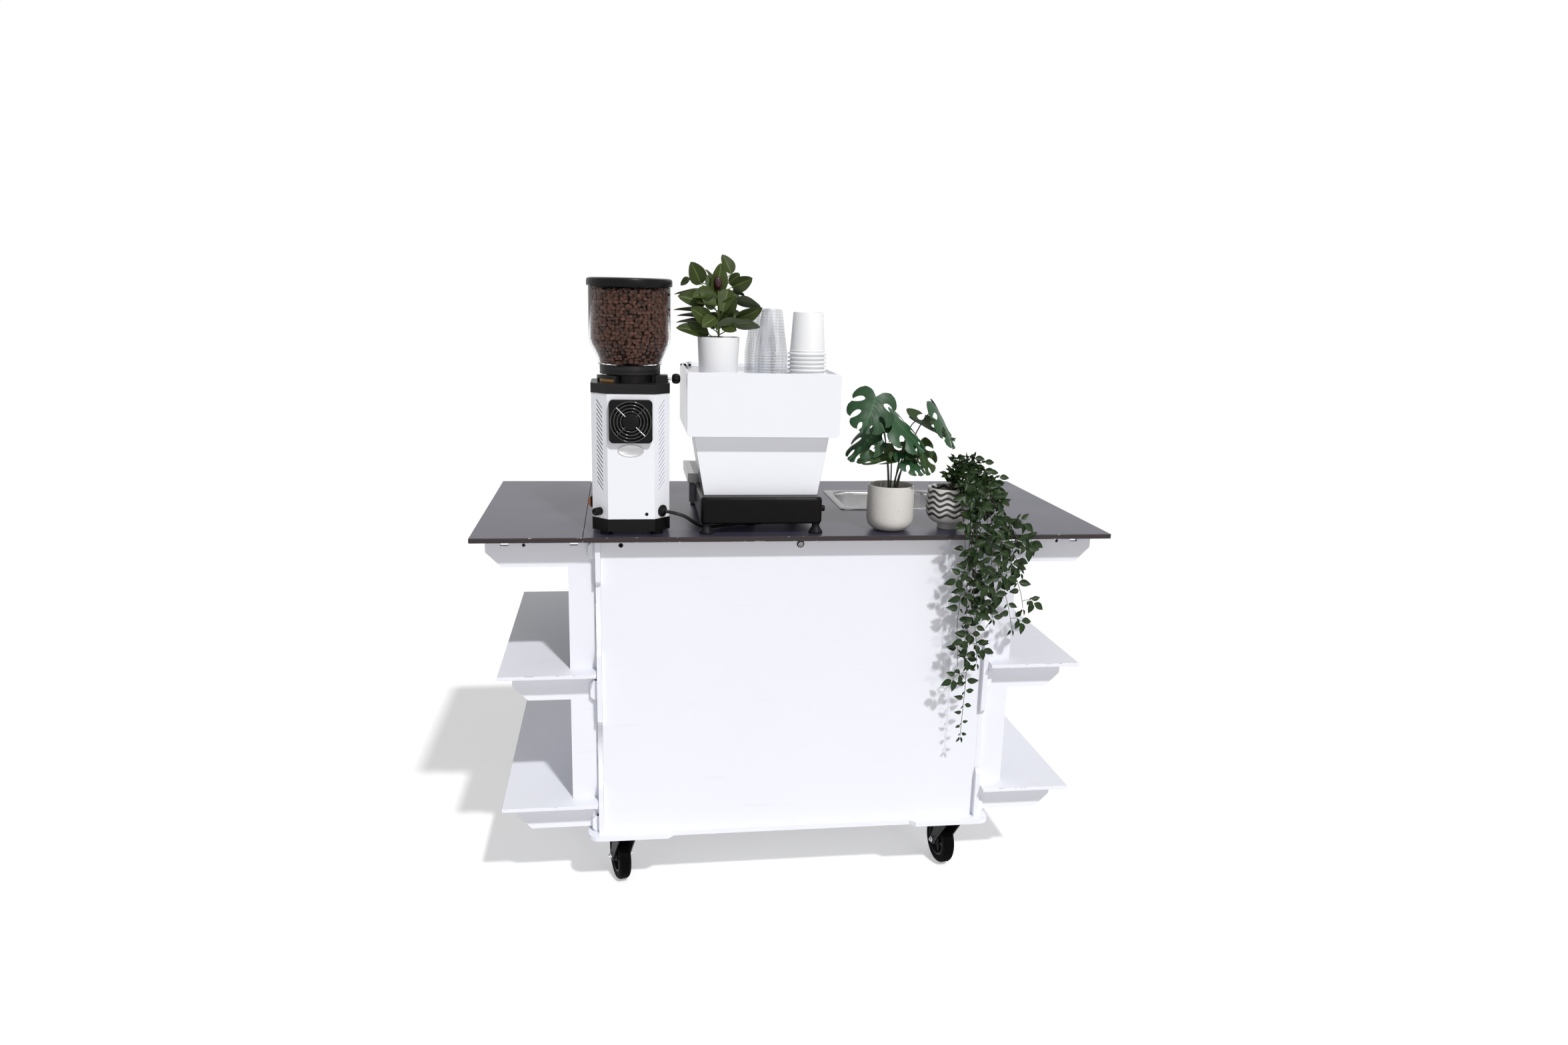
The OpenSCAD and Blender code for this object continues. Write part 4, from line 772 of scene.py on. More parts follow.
boards = {"edge": 0.9,
          "cart": {"base_plate": "basePlate", "side_panel_left": "sidePanelLeft",
                   "side_panel_right": "sidePanelRight",
                   "front_panel": "frontPanel", "rear_rail": "rearRail", "inner_shelf": "innerShelf"},
          "left_wing": {"left_brackets": "leftBrackets", "left_mid_shelf": "leftMidShelf",
                        "left_low_shelf": "leftLowShelf"},
          "right_wing": {"right_brackets": "rightBrackets", "right_mid_shelf": "rightMidShelf",
                         "right_low_shelf": "rightLowShelf"}}


notches = {"at": (696, 537), "size": (19, 30, 36), "under": 918, "peg": 652, "pegDown": 16.5, "pegRadius": 4,
           "pegDeep": 4,
           "holeShade": [(0, 0), (3.7, 0), (3.9, 0.6), (3.9, 6), (0, 6)]}


def pegPlace(side, front, deep=0):
    return Vector((side * notches["peg"] * mm, front + deep * mm, (notches["under"] - notches["pegDown"]) * mm))


def bracketCutters(node, side):  # finger notches and a peg hole under the worktop, in the front bracket
    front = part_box(node)[0].y
    under = notches["under"] * mm
    cutters = [block("cutter", notches["size"], Vector((side * x * mm, front, under))) for x in notches["at"]]
    return cutters + [bar("cutter", 24, notches["pegRadius"], 40, pegPlace(side, front), toFront)]


def addBoards():
    for body in ("cart", "left_wing", "right_wing"):
        for node, name in boards[body].items():
            cutters = bracketCutters(node, -1 if body == "left_wing" else 1) if "brackets" in node else ()
            piece = softened(node, name, boards["edge"], boardWhite, boardWorn, cutters=cutters)
            fitted(piece, body, "painted_ply", node)
    for side, body in ((-1, "left_wing"), (1, "right_wing")):
        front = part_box(body[:-4] + "brackets")[0].y
        # painted shade: a short black filler sits inside each peg hole, so that the hole shows dark
        holeShade = turned("pegHoleShade", notches["holeShade"], pegPlace(side, front, notches["pegDeep"]), (0, 1, 0), 24)
        fitted(dressed(holeShade, plasticBlack), body, "black_plastic")


ears = {"shares": ((0, 0.055), (0.466, 0.531), (0.936, 0.989)), "low": 169, "tall": 749, "from": 486, "to": 504.4,
        "cut": 8, "thick": 12, "proud": 0.3}


def addEars():  # the front panel's tenons, drawn out past the side panels
    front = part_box("front_panel")[0].y
    faces = (front - ears["proud"] * mm, front + (ears["thick"] + ears["proud"]) * mm)
    parts = []
    for side in (-1, 1):
        for low, high in ears["shares"]:
            z0, z1 = ears["low"] + low * ears["tall"], ears["low"] + high * ears["tall"]
            x0, x1, c = ears["from"], ears["to"], ears["cut"]
            outline = [(x0, z0), (x1 - c, z0), (x1, z0 + c), (x1, z1 - c), (x1 - c, z1), (x0, z1)]
            rings = [[Vector((side * x * mm, y, z * mm)) for x, z in outline] for y in faces]
            ear = dressed(lofted("ear", rings, False, 30), boardWhite, boardWorn)
            parts.append(bevelled(ear, boards["edge"]))
    fitted(joined("panelEars", parts), "cart", "painted_ply")


worktop = {"edge": 1.7, "boards": {"main_top": ("mainTop", "cart"), "left_leaf": ("leftLeaf", "left_wing"),
                                   "right_leaf": ("rightLeaf", "right_wing")}}


def addWorktop():
    for node, (name, body) in worktop["boards"].items():
        fitted(softened(node, name, worktop["edge"], filmDark, filmWorn), body, "film_ply", node)


sink = {"at": bench(315, 450, 0),
        "inner": [(326, 278, 12, 0.2), (326, 278, 12, 1.8), (324.6, 276.6, 11.5, 2.4), (294, 246, 46, 2.4),
                  (288, 240, 44, 1.6), (284.6, 236.6, 42.5, -1.5), (283.6, 235.6, 41, -8), (279, 231, 40, -104),
                  (273, 225, 40, -117), (262, 214, 38, -124), (240, 192, 36, -127.4), (110, 100, 30, -128.4),
                  (58, 58, 29, -128.7), (45, 45, 22.5, -129)],
        "outer": [(45, 45, 22.5, -130), (242, 194, 38, -130), (266, 218, 41, -126.5), (277, 229, 42, -119),
                  (283, 235, 43, -105), (286, 238, 42, -8), (286, 238, 42, 0.2)],
        "waste": [(0, -128.5), (8, -128.5), (20, -126.6), (24.5, -126.2), (26, -126.6), (26.5, -127.6), (22, -128.6),
                  (22, -129.8), (0, -129.8)],
        "holes": 6, "holeRing": 14.5, "hole": [(0, -126.9), (2.2, -126.9), (2.6, -127.3), (2.2, -127.8), (0, -127.8)],
        "brim": 1.2}


def addSink():
    rings = [roundRing(w, d, r, z, sink["at"], 7) for w, d, r, z in sink["inner"] + sink["outer"]]
    bowl = dressed(lofted("sinkBowl", rings, True, 50), rimSteelPaintedDark, bowlSteelPaintedReflection)
    for face in bowl.data.polygons:
        face.material_index = 1 if face.center.z < sink["at"].z - sink["brim"] * mm else 0
    fitted(bowl, "cart", "sink_steel", "sink_basin")
    strainer = dressed(turned("sinkStrainer", sink["waste"], sink["at"]), chrome)
    holes = []
    for k in range(sink["holes"]):
        a = k * math.tau / sink["holes"]
        spot = sink["at"] + Vector((sink["holeRing"] * math.cos(a), sink["holeRing"] * math.sin(a), 0)) * mm
        holes.append(turned("wasteHole", sink["hole"], spot, steps=14))
    holes = dressed(joined("wasteHoles", holes), plasticBlack)
    for piece in (strainer, holes):
        fitted(piece, "cart", "bright_steel")


caster = {"x": 426, "y": (70, 686), "yaw": {"fl": 14, "fr": 8, "rl": -150, "rr": 160}, "trail": 45, "radius": 62.5,
          "tyre": [(43, -13), (44, -14.6), (47, -15), (54, -15), (58, -14), (60.6, -11.6), (62, -8.6), (62.5, -7.6),
                   (61.2, -7.4), (61.2, -4.8), (62.5, -4.5), (62.5, -1.6), (61.2, -1.4), (61.2, 1.4), (62.5, 1.6),
                   (62.5, 4.5), (61.2, 4.8), (61.2, 7.4), (62.5, 7.6), (62, 8.6), (60.6, 11.6), (58, 14), (54, 15),
                   (47, 15), (44, 14.6), (43, 13)],
          "rim": [(37.6, -7.6), (38.2, -12.4), (40, -13.6), (43, -13.4), (43, 13.4), (40, 13.6), (38.2, 12.4),
                  (37.6, 7.6)],
          "hub": [(5.05, -18), (11.8, -18), (13, -17.2), (13.4, -15), (15, -13), (15, 13), (13.4, 15), (13, 17.2),
                  (11.8, 18), (5.05, 18)],
          "spokes": 5, "spoke": (15, 11, 26), "nut": (8.5, 6), "nutAt": 25.3, "studAt": 28,
          "stud": [(0, 0), (4.6, 0), (4.6, 3.2), (3.6, 4.2), (0, 4.2)]}


def wheelParts():
    tyre = turned("tyre", caster["tyre"], axis=(1, 0, 0), steps=56, ring=True, angle=35)
    rim = turned("rim", caster["rim"], axis=(1, 0, 0), steps=56, ring=True, angle=35)
    hub = turned("hub", caster["hub"], axis=(1, 0, 0), steps=36, ring=True, angle=35)
    spokes = []
    long = caster["spoke"][2]
    for k in range(caster["spokes"]):
        spoke = block("spoke", caster["spoke"], Vector((0, 0, long)) * mm)
        edit(spoke)
        bpy.ops.mesh.subdivide(number_cuts=2)
        leaveEdit()
        for v in spoke.data.vertices:  # waisted in the middle, wider at the rim
            share = (v.co.z / mm - long / 2) / long
            v.co.y *= 0.8 + 0.55 * (2 * share - 1) ** 2
            v.co.x *= 1 - 0.18 * math.sin(math.pi * share)
        bevelled(spoke, 1.4, 2)
        spoke.data.transform(Matrix.Rotation(math.tau * (k + 0.5) / caster["spokes"], 4, "X"))
        spokes.append(spoke)
    return tyre, joined("wheelCore", [rim, hub] + spokes)


def casterPlace(key):
    x = caster["x"] * (-1 if key[1] == "l" else 1)
    y = caster["y"][0 if key[0] == "f" else 1]
    spot = Vector((x, y + deck["front"], 0)) * mm
    return Matrix.Translation(spot) @ Matrix.Rotation(math.radians(caster["yaw"][key]), 4, "Z")


def addCasters():
    eased("caster_plates", "casterPlates", 0.7, casterBlack, "cart", "black_metal")
    tyre, core = wheelParts()
    axle = Matrix.Translation(Vector((0, caster["trail"], caster["radius"])) * mm)
    for key in caster["yaw"]:
        place = casterPlace(key)
        for part, name, material in ((tyre, "tyre", tyreRubber), (core, "wheelCore", casterBlack)):
            piece = linked(name + key.upper(), part.data.copy())
            piece.data.transform(place @ axle)
            dressed(piece, material)
            fitted(piece, "wheel_" + key, "wheel_rubber" if part is tyre else "black_metal", "wheel_" + key)
        eased("fork_" + key, "fork" + key.upper(), 0.8, casterBlack, "fork_" + key, "black_metal")
        nuts = []
        for side in (-1, 1):
            nut = bevelled(bar("nut", 6, *caster["nut"]), 0.8)
            turn = Matrix.Rotation(math.pi / 2, 4, "Y")
            nut.data.transform(Matrix.Translation((side * caster["nutAt"] * mm, 0, 0)) @ turn)
            stud = turned("stud", caster["stud"], (side * caster["studAt"] * mm, 0, 0), (side, 0, 0), 16)
            nuts += [nut, stud]
        nuts = dressed(joined("axleNuts" + key.upper(), nuts), chrome)
        nuts.data.transform(place @ axle)
        fitted(nuts, "fork_" + key, "bright_steel")
    for part in (tyre, core):
        bpy.data.objects.remove(part)


bolt = {"at": bench(0, 40, -28), "plate": (34, 39, 150.7), "shank": [(0, 0), (3.8, 0), (3.8, 24), (3.2, 25), (0, 25)],
        "nut": (7, 6.4), "nutBehind": 15.4, "screw": (6, 4), "proud": 0.9,
        "head": [(0, 2.2), (3.0, 2.2), (3.6, 3.4), (5.6, 3.1), (6.6, 2.1), (7, 0.8), (7, 0), (0, 0)],
        "washer": [(4, 0), (8.6, 0), (9, 0.5), (8.6, 1), (4, 1)], "holes": (-428, 428),
        "insert": [(0, -9), (2.9, -9), (2.9, 0.4), (3.2, 0.7), (5.2, 0.6), (5.5, 0), (3.9, 0), (3.9, -10.6),
                   (0, -10.6)]}


def addBolts():
    forward = (0, -1, 0)
    washer = dressed(turned("boltWasher", bolt["washer"], bolt["at"], forward, ring=True), plasticBlack)
    head = turned("boltHead", bolt["head"], bolt["at"] + Vector((0, -bolt["proud"], 0)) * mm, forward, 36, angle=30)
    shank = turned("boltShank", bolt["shank"], bolt["at"], (0, 1, 0), 24)
    behind = bolt["at"] + Vector((0, bolt["nutBehind"], 0)) * mm
    nut = bevelled(bar("boltNut", 6, *bolt["nut"], behind, toFront), 0.7)
    screws = []
    px, py, pz = bolt["plate"]
    for key in caster["yaw"]:
        for sx in (-1, 1):
            for sy in (-1, 1):
                spot = casterPlace(key).translation + Vector((sx * px, sy * py, pz)) * mm
                screws.append(bevelled(bar("screw", 6, *bolt["screw"], spot), 0.6))
    steel = dressed(joined("boltsAndScrews", [head, shank, nut] + screws), boltSteel)
    fitted(steel, "cart", "bright_steel", "bolts")
    fitted(washer, "cart", "black_plastic")
    inserts = [turned("insert", bolt["insert"], bench(x, 40, -28), forward, 28, angle=30) for x in bolt["holes"]]
    fitted(dressed(joined("threadInserts", inserts), plasticBlack), "cart", "black_plastic")


addBoards()
addEars()
addWorktop()
addSink()
print("boards, worktop and sink ready")
addCasters()
addBolts()
eased("outlet_box", "outletBox", 1.2, plasticBlack, "cart", "black_plastic")
print("casters and bolts ready")

# the grinder stands with its back to the customers
grinder = {"at": bench(-403, 107, 0), "louvre": (19, 116, 10.4, 46), "inlay": (26.8, 0.8, 2.3), "chamfer": 71,
           "inset": 0.9,
           "eased": (("grinder_base", "grinderBase", 1.6, plasticBlack, "cart", "black_plastic"),
                     ("grinder_column", "grinderColumn", 0.6, enamelWhite, "cart", "white_metal"),
                     ("grinder_cap", "grinderCap", 1.2, capBlack, "cart", "black_metal"),
                     ("adjust_sector", "adjustSector", 0.6, brass, "cart", "brass"),
                     ("grinder_spout", "grinderSpout", 1.4, capBlack, "cart", "black_metal")),
           "plateAt": bench(-403.2, 18, 199), "oval": (2.08, 1, 0.98, 1), "screwAt": bench(-367.6, 18, 51),
           "knobAt": bench(-307, 90, 358), "lobes": 7, "bridge": ((12.6, 20, 17), bench(-347.4, 90, 358.6)),
           "shaft": [bench(x, 90, 358) for x in (-340, -322, -304)], "shaftRadius": 3.4,
           "collar": [(36.5, 350), (55.4, 350), (56, 350.6), (56, 366.4), (57, 367.3), (68.6, 367.6), (69.8, 368.6),
                      (69.8, 374), (69, 374.6), (69, 376.4), (69.8, 377), (69.8, 387.4), (69, 388.8), (36.5, 389)],
           "hopper": [(36.5, 389.1), (72, 389.1), (73, 390), (73, 395), (74.4, 401), (79, 412), (86, 425.5),
                      (91, 435.5), (93.3, 442.5), (94, 450), (94, 563.6), (93.5, 564.6), (91.5, 564.6), (91, 563.6),
                      (91, 450.4), (90.2, 443.6), (88, 437), (83, 427), (76, 413.6), (71.4, 402.6), (70, 396),
                      (70, 392.1), (36.5, 392.1)],
           "lid": [(0, 584), (60, 583.8), (86, 583.4), (93, 582.6), (96.4, 580.8), (97.8, 578), (98, 575),
                   (98, 567.2), (97.2, 565.4), (95.6, 565), (90.4, 565), (90.4, 562.6), (89.8, 562), (0, 562)],
           "knob": [(0, 0), (4, 0), (7.4, 0.6), (10, 2.4), (11.6, 5.4), (12, 10), (11.4, 14.6), (9.4, 17.8),
                    (5.6, 19.6), (0, 20)],
           "plate": [(0, 1.2), (12.4, 1.2), (13, 1.7), (13.8, 1.7), (14.3, 1.2), (14.3, 0), (0, 0)],
           "screw": [(0, 0.8), (1.2, 1.0), (1.4, 1.8), (3.2, 1.4), (4, 0.4), (4, 0), (0, 0)]}


def addGrinderCase():
    for row in grinder["eased"]:
        eased(*row)
    count, first, step, lean = grinder["louvre"]
    far = grinder["chamfer"]
    for side, material, slot in ((-1, louvrePaintedShade, "black_plastic"), (1, louvrePaintedLight, "white_metal")):
        normal = Vector((side, -1, 0)).normalized()
        turn = Matrix.Rotation(math.radians(side * 45), 3, "Z") @ Matrix.Rotation(math.radians(-side * lean), 3, "Y")
        slits = []
        for k in range(count):  # a thin inlay just inside each louvre: painted shade on the left side, painted light on the right side
            middle = grinder["at"] + Vector((side * far, -far, first + k * step)) * mm
            slits.append(block("slit", grinder["inlay"], middle - normal * grinder["inset"] * mm, turn, 0.2, 1))
        fitted(dressed(joined("louvrePaintedInlays", slits), material), "cart", slot)
    plate = turned("ovalPlate", grinder["plate"], axis=(0, -1, 0), steps=56)
    plate.data.transform(Matrix.Translation(grinder["plateAt"]) @ Matrix.Diagonal(grinder["oval"]))
    fitted(dressed(plate, plateSilver), "cart", "sink_steel")
    screw = turned("caseScrew", grinder["screw"], grinder["screwAt"], (0, -1, 0), 20)
    fitted(dressed(screw, plasticBlack), "cart", "black_plastic")
    knob = turned("adjustKnob", grinder["knob"], axis=(1, 0, 0), steps=84)
    for v in knob.data.vertices:  # lobes for the fingers
        grip = min(1, max(0, math.hypot(v.co.y, v.co.z) / mm - 6) / 4)
        k = 1 - 0.2 * grip * (0.5 + 0.5 * math.cos(grinder["lobes"] * math.atan2(v.co.z, v.co.y))) ** 1.6
        v.co.y *= k
        v.co.z *= k
    knob.data.transform(Matrix.Translation(grinder["knobAt"]))
    fitted(dressed(knob, plasticBlack), "knob", "black_plastic", "adjust_knob")
    bridge = block("collarBridge", *grinder["bridge"], None, 1.5)
    fitted(dressed(bridge, capBlack), "cart", "black_metal")
    shaft = rod("knobShaft", grinder["shaft"], grinder["shaftRadius"] * mm, 4)
    fitted(dressed(shaft, chrome), "knob", "bright_steel")


beans = {"size": (6, 4.7, 3.9), "flat": -0.42, "groove": 0.22, "first": 396.5, "level": 556, "row": 7.4, "gap": 10.2,
         "inset": 4.6,
         "rings": 10, "ring": 9, "ringGap": 10.4,
         "wall": [(70, 392), (70, 396), (71.4, 402.6), (76, 413.6), (83, 427), (88, 437), (91, 450), (91, 566)],
         "core": [(0, 393), (66, 393), (66, 397), (70, 405), (82, 432), (86.4, 450), (86.4, 551), (0, 553)]}


def beanShape():
    activate()
    bpy.ops.mesh.primitive_uv_sphere_add(segments=10, ring_count=6, radius=1, rotation=(0, math.pi / 2, 0))
    bean = settle(bpy.context.object, "bean")
    for v in bean.data.vertices:
        x, y, z = v.co
        level = max(z, beans["flat"])
        if z < -0.2 and abs(y) < 0.25:
            level += beans["groove"]  # along the flat side
        long, wide, thick = beans["size"]
        v.co = Vector((x * long, y * wide, level * thick)) * mm
    return smoothed(bean, 50)


def addBeans():
    at, bean, places = grinder["at"], beanShape(), []
    z = beans["first"]
    while z < beans["level"]:
        for (r0, z0), (r1, z1) in zip(beans["wall"], beans["wall"][1:]):
            if z0 <= z <= z1:
                radius = r0 + (r1 - r0) * (z - z0) / (z1 - z0)
                lean = math.atan2(r1 - r0, z1 - z0)
        radius -= beans["inset"]
        count = int(math.tau * radius / beans["gap"])
        for k in range(count):
            a = math.tau * (k + dice.uniform(-0.35, 0.35)) / count
            out = Vector((math.cos(a), math.sin(a), -math.sin(lean)))
            level = Vector((-math.sin(a), math.cos(a), 0))
            spin = dice.gauss(0, 0.6)
            along = level * math.cos(spin) + Vector((0, 0, 1)) * math.sin(spin)
            normal = out + Vector((dice.uniform(-0.3, 0.3), dice.uniform(-0.3, 0.3), dice.uniform(-0.25, 0.25)))
            normal *= dice.choice((-1, 1, 1, 1))
            spot = at + Vector((radius * math.cos(a), radius * math.sin(a), z + dice.uniform(-2.2, 2.2))) * mm
            places.append(axes(along, normal.cross(along), spot))
        z += beans["row"]
    for ring in range(1, beans["rings"]):
        radius = beans["ring"] * ring
        count = int(math.tau * radius / beans["ringGap"])
        for k in range(count):
            a = math.tau * (k + dice.uniform(-0.3, 0.3)) / count
            top = beans["level"] - 1 + dice.uniform(-2, 1.5)
            spot = at + Vector((radius * math.cos(a), radius * math.sin(a), top)) * mm
            along = Vector((dice.uniform(-1, 1), dice.uniform(-1, 1), dice.uniform(-0.25, 0.25)))
            across = Vector((dice.uniform(-1, 1), dice.uniform(-1, 1), dice.uniform(-0.3, 0.3)))
            places.append(axes(along, across, spot))
    pile = dressed(repeated("beanPile", bean, places), beanSkin)
    bpy.data.objects.remove(bean)
    # painted shade: the dark core fills the hopper behind the outer beans, for the shade between them
    fitted(dressed(turned("beanCore", beans["core"], at), beanGapPaintedShade), "cart", "bean")
    fitted(pile, "cart", "bean", "beans")
    print("beans poured:", len(places))


def addHopper():
    at = grinder["at"]
    collar = turned("hopperCollar", grinder["collar"], at, steps=72, ring=True, angle=30)
    glass = turned("hopperGlass", grinder["hopper"], at, steps=72, ring=True)
    lid = turned("hopperLid", grinder["lid"], at, steps=80, angle=35)
    fitted(dressed(collar, capBlack), "cart", "black_plastic", "grinder_collar")
    fitted(dressed(glass, hopperClear), "cart", "clear", "hopper")
    fitted(dressed(lid, plasticBlack), "lid", "black_plastic", "hopper_lid")


fan = {"at": bench(-403, 4, 267), "rings": (23, 30.5, 38, 45.4), "wire": 1.45, "ahead": 1.6, "stayRadius": 1.25,
       "stay": ((17, 2.4), (24, 3.4), (34, 3.4), (45.4, 2.6)),
       "hub": [(0, 1.0), (17, 0.9), (19, 0.3), (19.5, -0.6), (19.5, -2.2), (0, -2.2)]}


def addFan():
    eased("fan_box", "fanBox", 1.6, plasticBlack, "cart", "black_plastic")
    eased("fan_rotor", "fanRotor", 0.4, plasticBlack, "fan", "black_plastic")
    wires, bright = [], []
    place = Matrix.Translation(fan["at"]) @ Matrix.Rotation(math.pi / 2, 4, "X")
    for radius in fan["rings"]:
        activate()
        bpy.ops.mesh.primitive_torus_add(major_radius=radius * mm, minor_radius=fan["wire"] * mm, major_segments=64,
                                         minor_segments=10)
        ring = settle(bpy.context.object)
        ring.data.transform(place @ Matrix.Translation((0, 0, fan["ahead"] * mm)))
        wires.append(smoothed(ring, 60))
    # painted highlight: the bars on one diagonal go into the bright chrome piece, the other two stay with the dark
    # rings, though all four are the same steel
    for quarter in range(4):
        a = math.radians(45 + 90 * quarter)
        way = Vector((math.cos(a), math.sin(a), 0))
        path = [place @ (way * r * mm + Vector((0, 0, z * mm))) for r, z in fan["stay"]]
        (bright if quarter % 2 else wires).append(rod("guardBar", path, fan["stayRadius"] * mm))
    fitted(dressed(joined("fanGuard", wires), guardChromePaintedDark), "cart", "bright_steel", "fan_guard")
    fitted(dressed(joined("guardBarsPaintedGlint", bright), chrome), "cart", "bright_steel")
    hub = turned("fanHub", fan["hub"], fan["at"], (0, -1, 0), 40)
    fitted(dressed(hub, plasticBlack), "cart", "black_plastic")


fittings = {"gland": [(0, 0), (13.4, 0), (14, 0.7), (14, 3.2), (13.2, 4), (9.8, 4.4), (8.8, 6), (7.4, 9), (6.2, 11.2),
                      (5.4, 12), (4.1, 12), (4.1, 8), (0, 8)],
            "fuse": [(0, 0), (9, 0), (9, 2.8), (8, 3.4), (8, 5), (8.7, 5.6), (8.7, 17.4), (8, 19.2), (6.6, 20),
                     (5.6, 19.2), (0, 19)],
            "ribs": 16, "rib": (1.1, 1.1, 11), "ribRing": 8.5, "ribUp": 11.5, "glandAt": bench(-332, 36, 56),
            "fuseAt": bench(-474, 36, 56),
            "frame": ((6, 22, 26), bench(-495, 107, 66)), "rocker": ((6, 16, 20), bench(-499, 107, 66)),
            "rockerTurn": 8}


def addFittings():
    right, left = Vector((1, -1, 0)).normalized(), Vector((-1, -1, 0)).normalized()
    gland = turned("gland", fittings["gland"], fittings["glandAt"], right, 32)
    fuse = turned("fuse", fittings["fuse"], fittings["fuseAt"], left, 32)
    ribs = []
    for k in range(fittings["ribs"]):
        a = k * math.tau / fittings["ribs"]
        spot = Vector((fittings["ribRing"] * math.cos(a), fittings["ribRing"] * math.sin(a), fittings["ribUp"])) * mm
        ribs.append(block("rib", fittings["rib"], spot, None, 0.3))
    ribs = joined("fuseRibs", ribs)
    turn = Vector((0, 0, 1)).rotation_difference(left).to_matrix().to_4x4()
    ribs.data.transform(Matrix.Translation(fittings["fuseAt"]) @ turn)
    surround = block("switchFrame", *fittings["frame"], None, 1.2)
    black = joined("grinderFittings", [gland, fuse, ribs, surround])
    fitted(dressed(black, plasticBlack), "cart", "black_plastic", "grinder_fittings")
    tilt = Matrix.Rotation(math.radians(fittings["rockerTurn"]), 3, "Y")
    rocker = block("switchRocker", *fittings["rocker"], tilt, 1.4, 3)
    fitted(dressed(rocker, switchOrange), "cart", "black_plastic")


addGrinderCase()
addHopper()
addBeans()
addFan()
addFittings()
print("grinder ready")

# the espresso machine stands with its back to the customers
machine = {"baseMiddle": bench(-96, 226, 0), "valveAt": bench(48.4, 60, 56),
           "feet": [bench(x, y, 0) for x in (-227, 35) for y in (40, 396)],
           "seams": (((0.6, 1.8, 132), bench(-275, 31.5, 308)), ((0.6, 4, 20), bench(-275, 38, 356)),
                     ((27, 9, 5), bench(-261.6, 326, 374.6))),
           "leg": ((14, 18, 50), bench(-249, 250, 61)), "railRadius": 2.2, "postRadius": 2.4, "postFoot": 371,
           "rail": ((-262, 232, 380), (-262, 240, 380), (-262, 290, 380), (-262, 338, 380), (-254, 346, 380),
                    (-246, 346, 380)),
           "base": [(276, 386, 10, 24), (284, 394, 13, 24.6), (288.6, 398.6, 15, 27), (290, 400, 16, 31),
                    (290, 400, 16, 79), (289, 399, 16, 83), (286.4, 396.4, 15, 86), (282, 392, 13, 87.6),
                    (276, 386, 10, 88)],
           "foot": [(0, 0), (15.6, 0), (16.8, 0.8), (17, 2.4), (16.6, 4.6), (14.6, 8), (11.8, 11.6), (9.8, 15),
                    (9, 18.4), (9, 21.4), (10.4, 22.4), (10.4, 24), (0, 24)],
           "valve": [(0, 0), (6.2, 0), (6.2, 2), (7.2, 2.6), (7.5, 4), (7.5, 8.6), (6.6, 10.4), (4.6, 11), (0, 11)]}


def addMachineCase():
    rings = [roundRing(w, d, r, z, machine["baseMiddle"], 7) for w, d, r, z in machine["base"]]
    base = lofted("machineBase", rings, False, 45)
    valve = turned("baseValve", machine["valve"], machine["valveAt"], (1, 0, 0), 24)
    fitted(dressed(joined("machineBase", [base, valve]), glossBlack), "cart", "black_plastic", "machine_base")
    feet = [turned("foot", machine["foot"], at, steps=36) for at in machine["feet"]]
    fitted(dressed(joined("machineFeet", feet), footRubber), "cart", "foot_rubber", "machine_feet")
    body = softened("machine_body", "machineBody", 1.0, enamelWhite)
    body.data.materials.append(traySteel)
    for face in body.data.polygons:  # bare steel at both ends
        face.material_index = 1 if abs(face.normal.x) > 0.6 else 0
    fitted(body, "cart", "white_metal", "machine_body")
    eased("machine_casing", "machineCasing", 1.2, enamelWhite, "cart", "white_metal")
    eased("drip_tray", "dripTray", 0.5, traySteel, "tray", "sink_steel")
    seams = [block("seam", size, at, None, 0.2) for size, at in machine["seams"]]
    fitted(dressed(joined("casingSeams", seams), plasticBlack), "cart", "black_plastic")
    leg = block("trayLeg", *machine["leg"], None, 2)
    fitted(dressed(leg, legGrey), "cart", "foot_rubber")
    rail = [rod("rail", [bench(*p) for p in machine["rail"]], machine["railRadius"] * mm, 3)]
    for x, y, z in (machine["rail"][1], machine["rail"][-2]):
        post = [bench(x, y, machine["postFoot"]), bench(x, y, z)]
        rail.append(rod("railPost", post, machine["postRadius"] * mm, 3))
    fitted(dressed(joined("deckRail", rail), chrome), "cart", "bright_steel")


group = {"at": bench(-96, 403, 0), "arm": bench(-96, 434, 240), "spoutRadius": 5.4,
         "bowl": [(0, 227), (31.6, 227), (33.6, 228), (34, 229.6), (34, 253), (36.6, 253.2), (37, 253.8), (37, 264.4),
                  (36.5, 265), (29.5, 265), (29, 264.5), (29, 231), (28, 230), (0, 230)],
         "neck": [(0, 0), (7, 0), (7, 26), (8.4, 28), (8.4, 31), (0, 31)],
         "spout": ((4, 230), (8, 227), (11.4, 223), (12, 219), (12, 215.2)),
         "grip": [(0, 30), (8.6, 30), (9.6, 31), (9.6, 34), (8.8, 36), (9.4, 50), (11.2, 80), (12.7, 108), (13, 124),
                  (12, 133), (9, 138), (4, 140), (0, 140)]}


def addGroup():
    eased("group_head", "groupHead", 2.0, chrome, "cart", "bright_steel", 3)
    holder = [turned("holderBowl", group["bowl"], group["at"]),
              turned("holderNeck", group["neck"], group["arm"], (0, 1, 0), 24)]
    for side in (-1, 1):
        path = [group["at"] + Vector((side * x, 0, z)) * mm for x, z in group["spout"]]
        holder.append(rod("holderSpout", path, group["spoutRadius"] * mm, 4))
    fitted(dressed(joined("filterHolder", holder), chrome), "holder", "bright_steel", "filter_holder")
    grip = turned("holderGrip", group["grip"], group["arm"], (0, 1, 0), 32)
    fitted(dressed(grip, plasticBlack), "holder", "black_plastic")
    eased("paddle", "paddleLever", 3.2, paddleWood, "paddle_arm", "paddle_wood", 3)


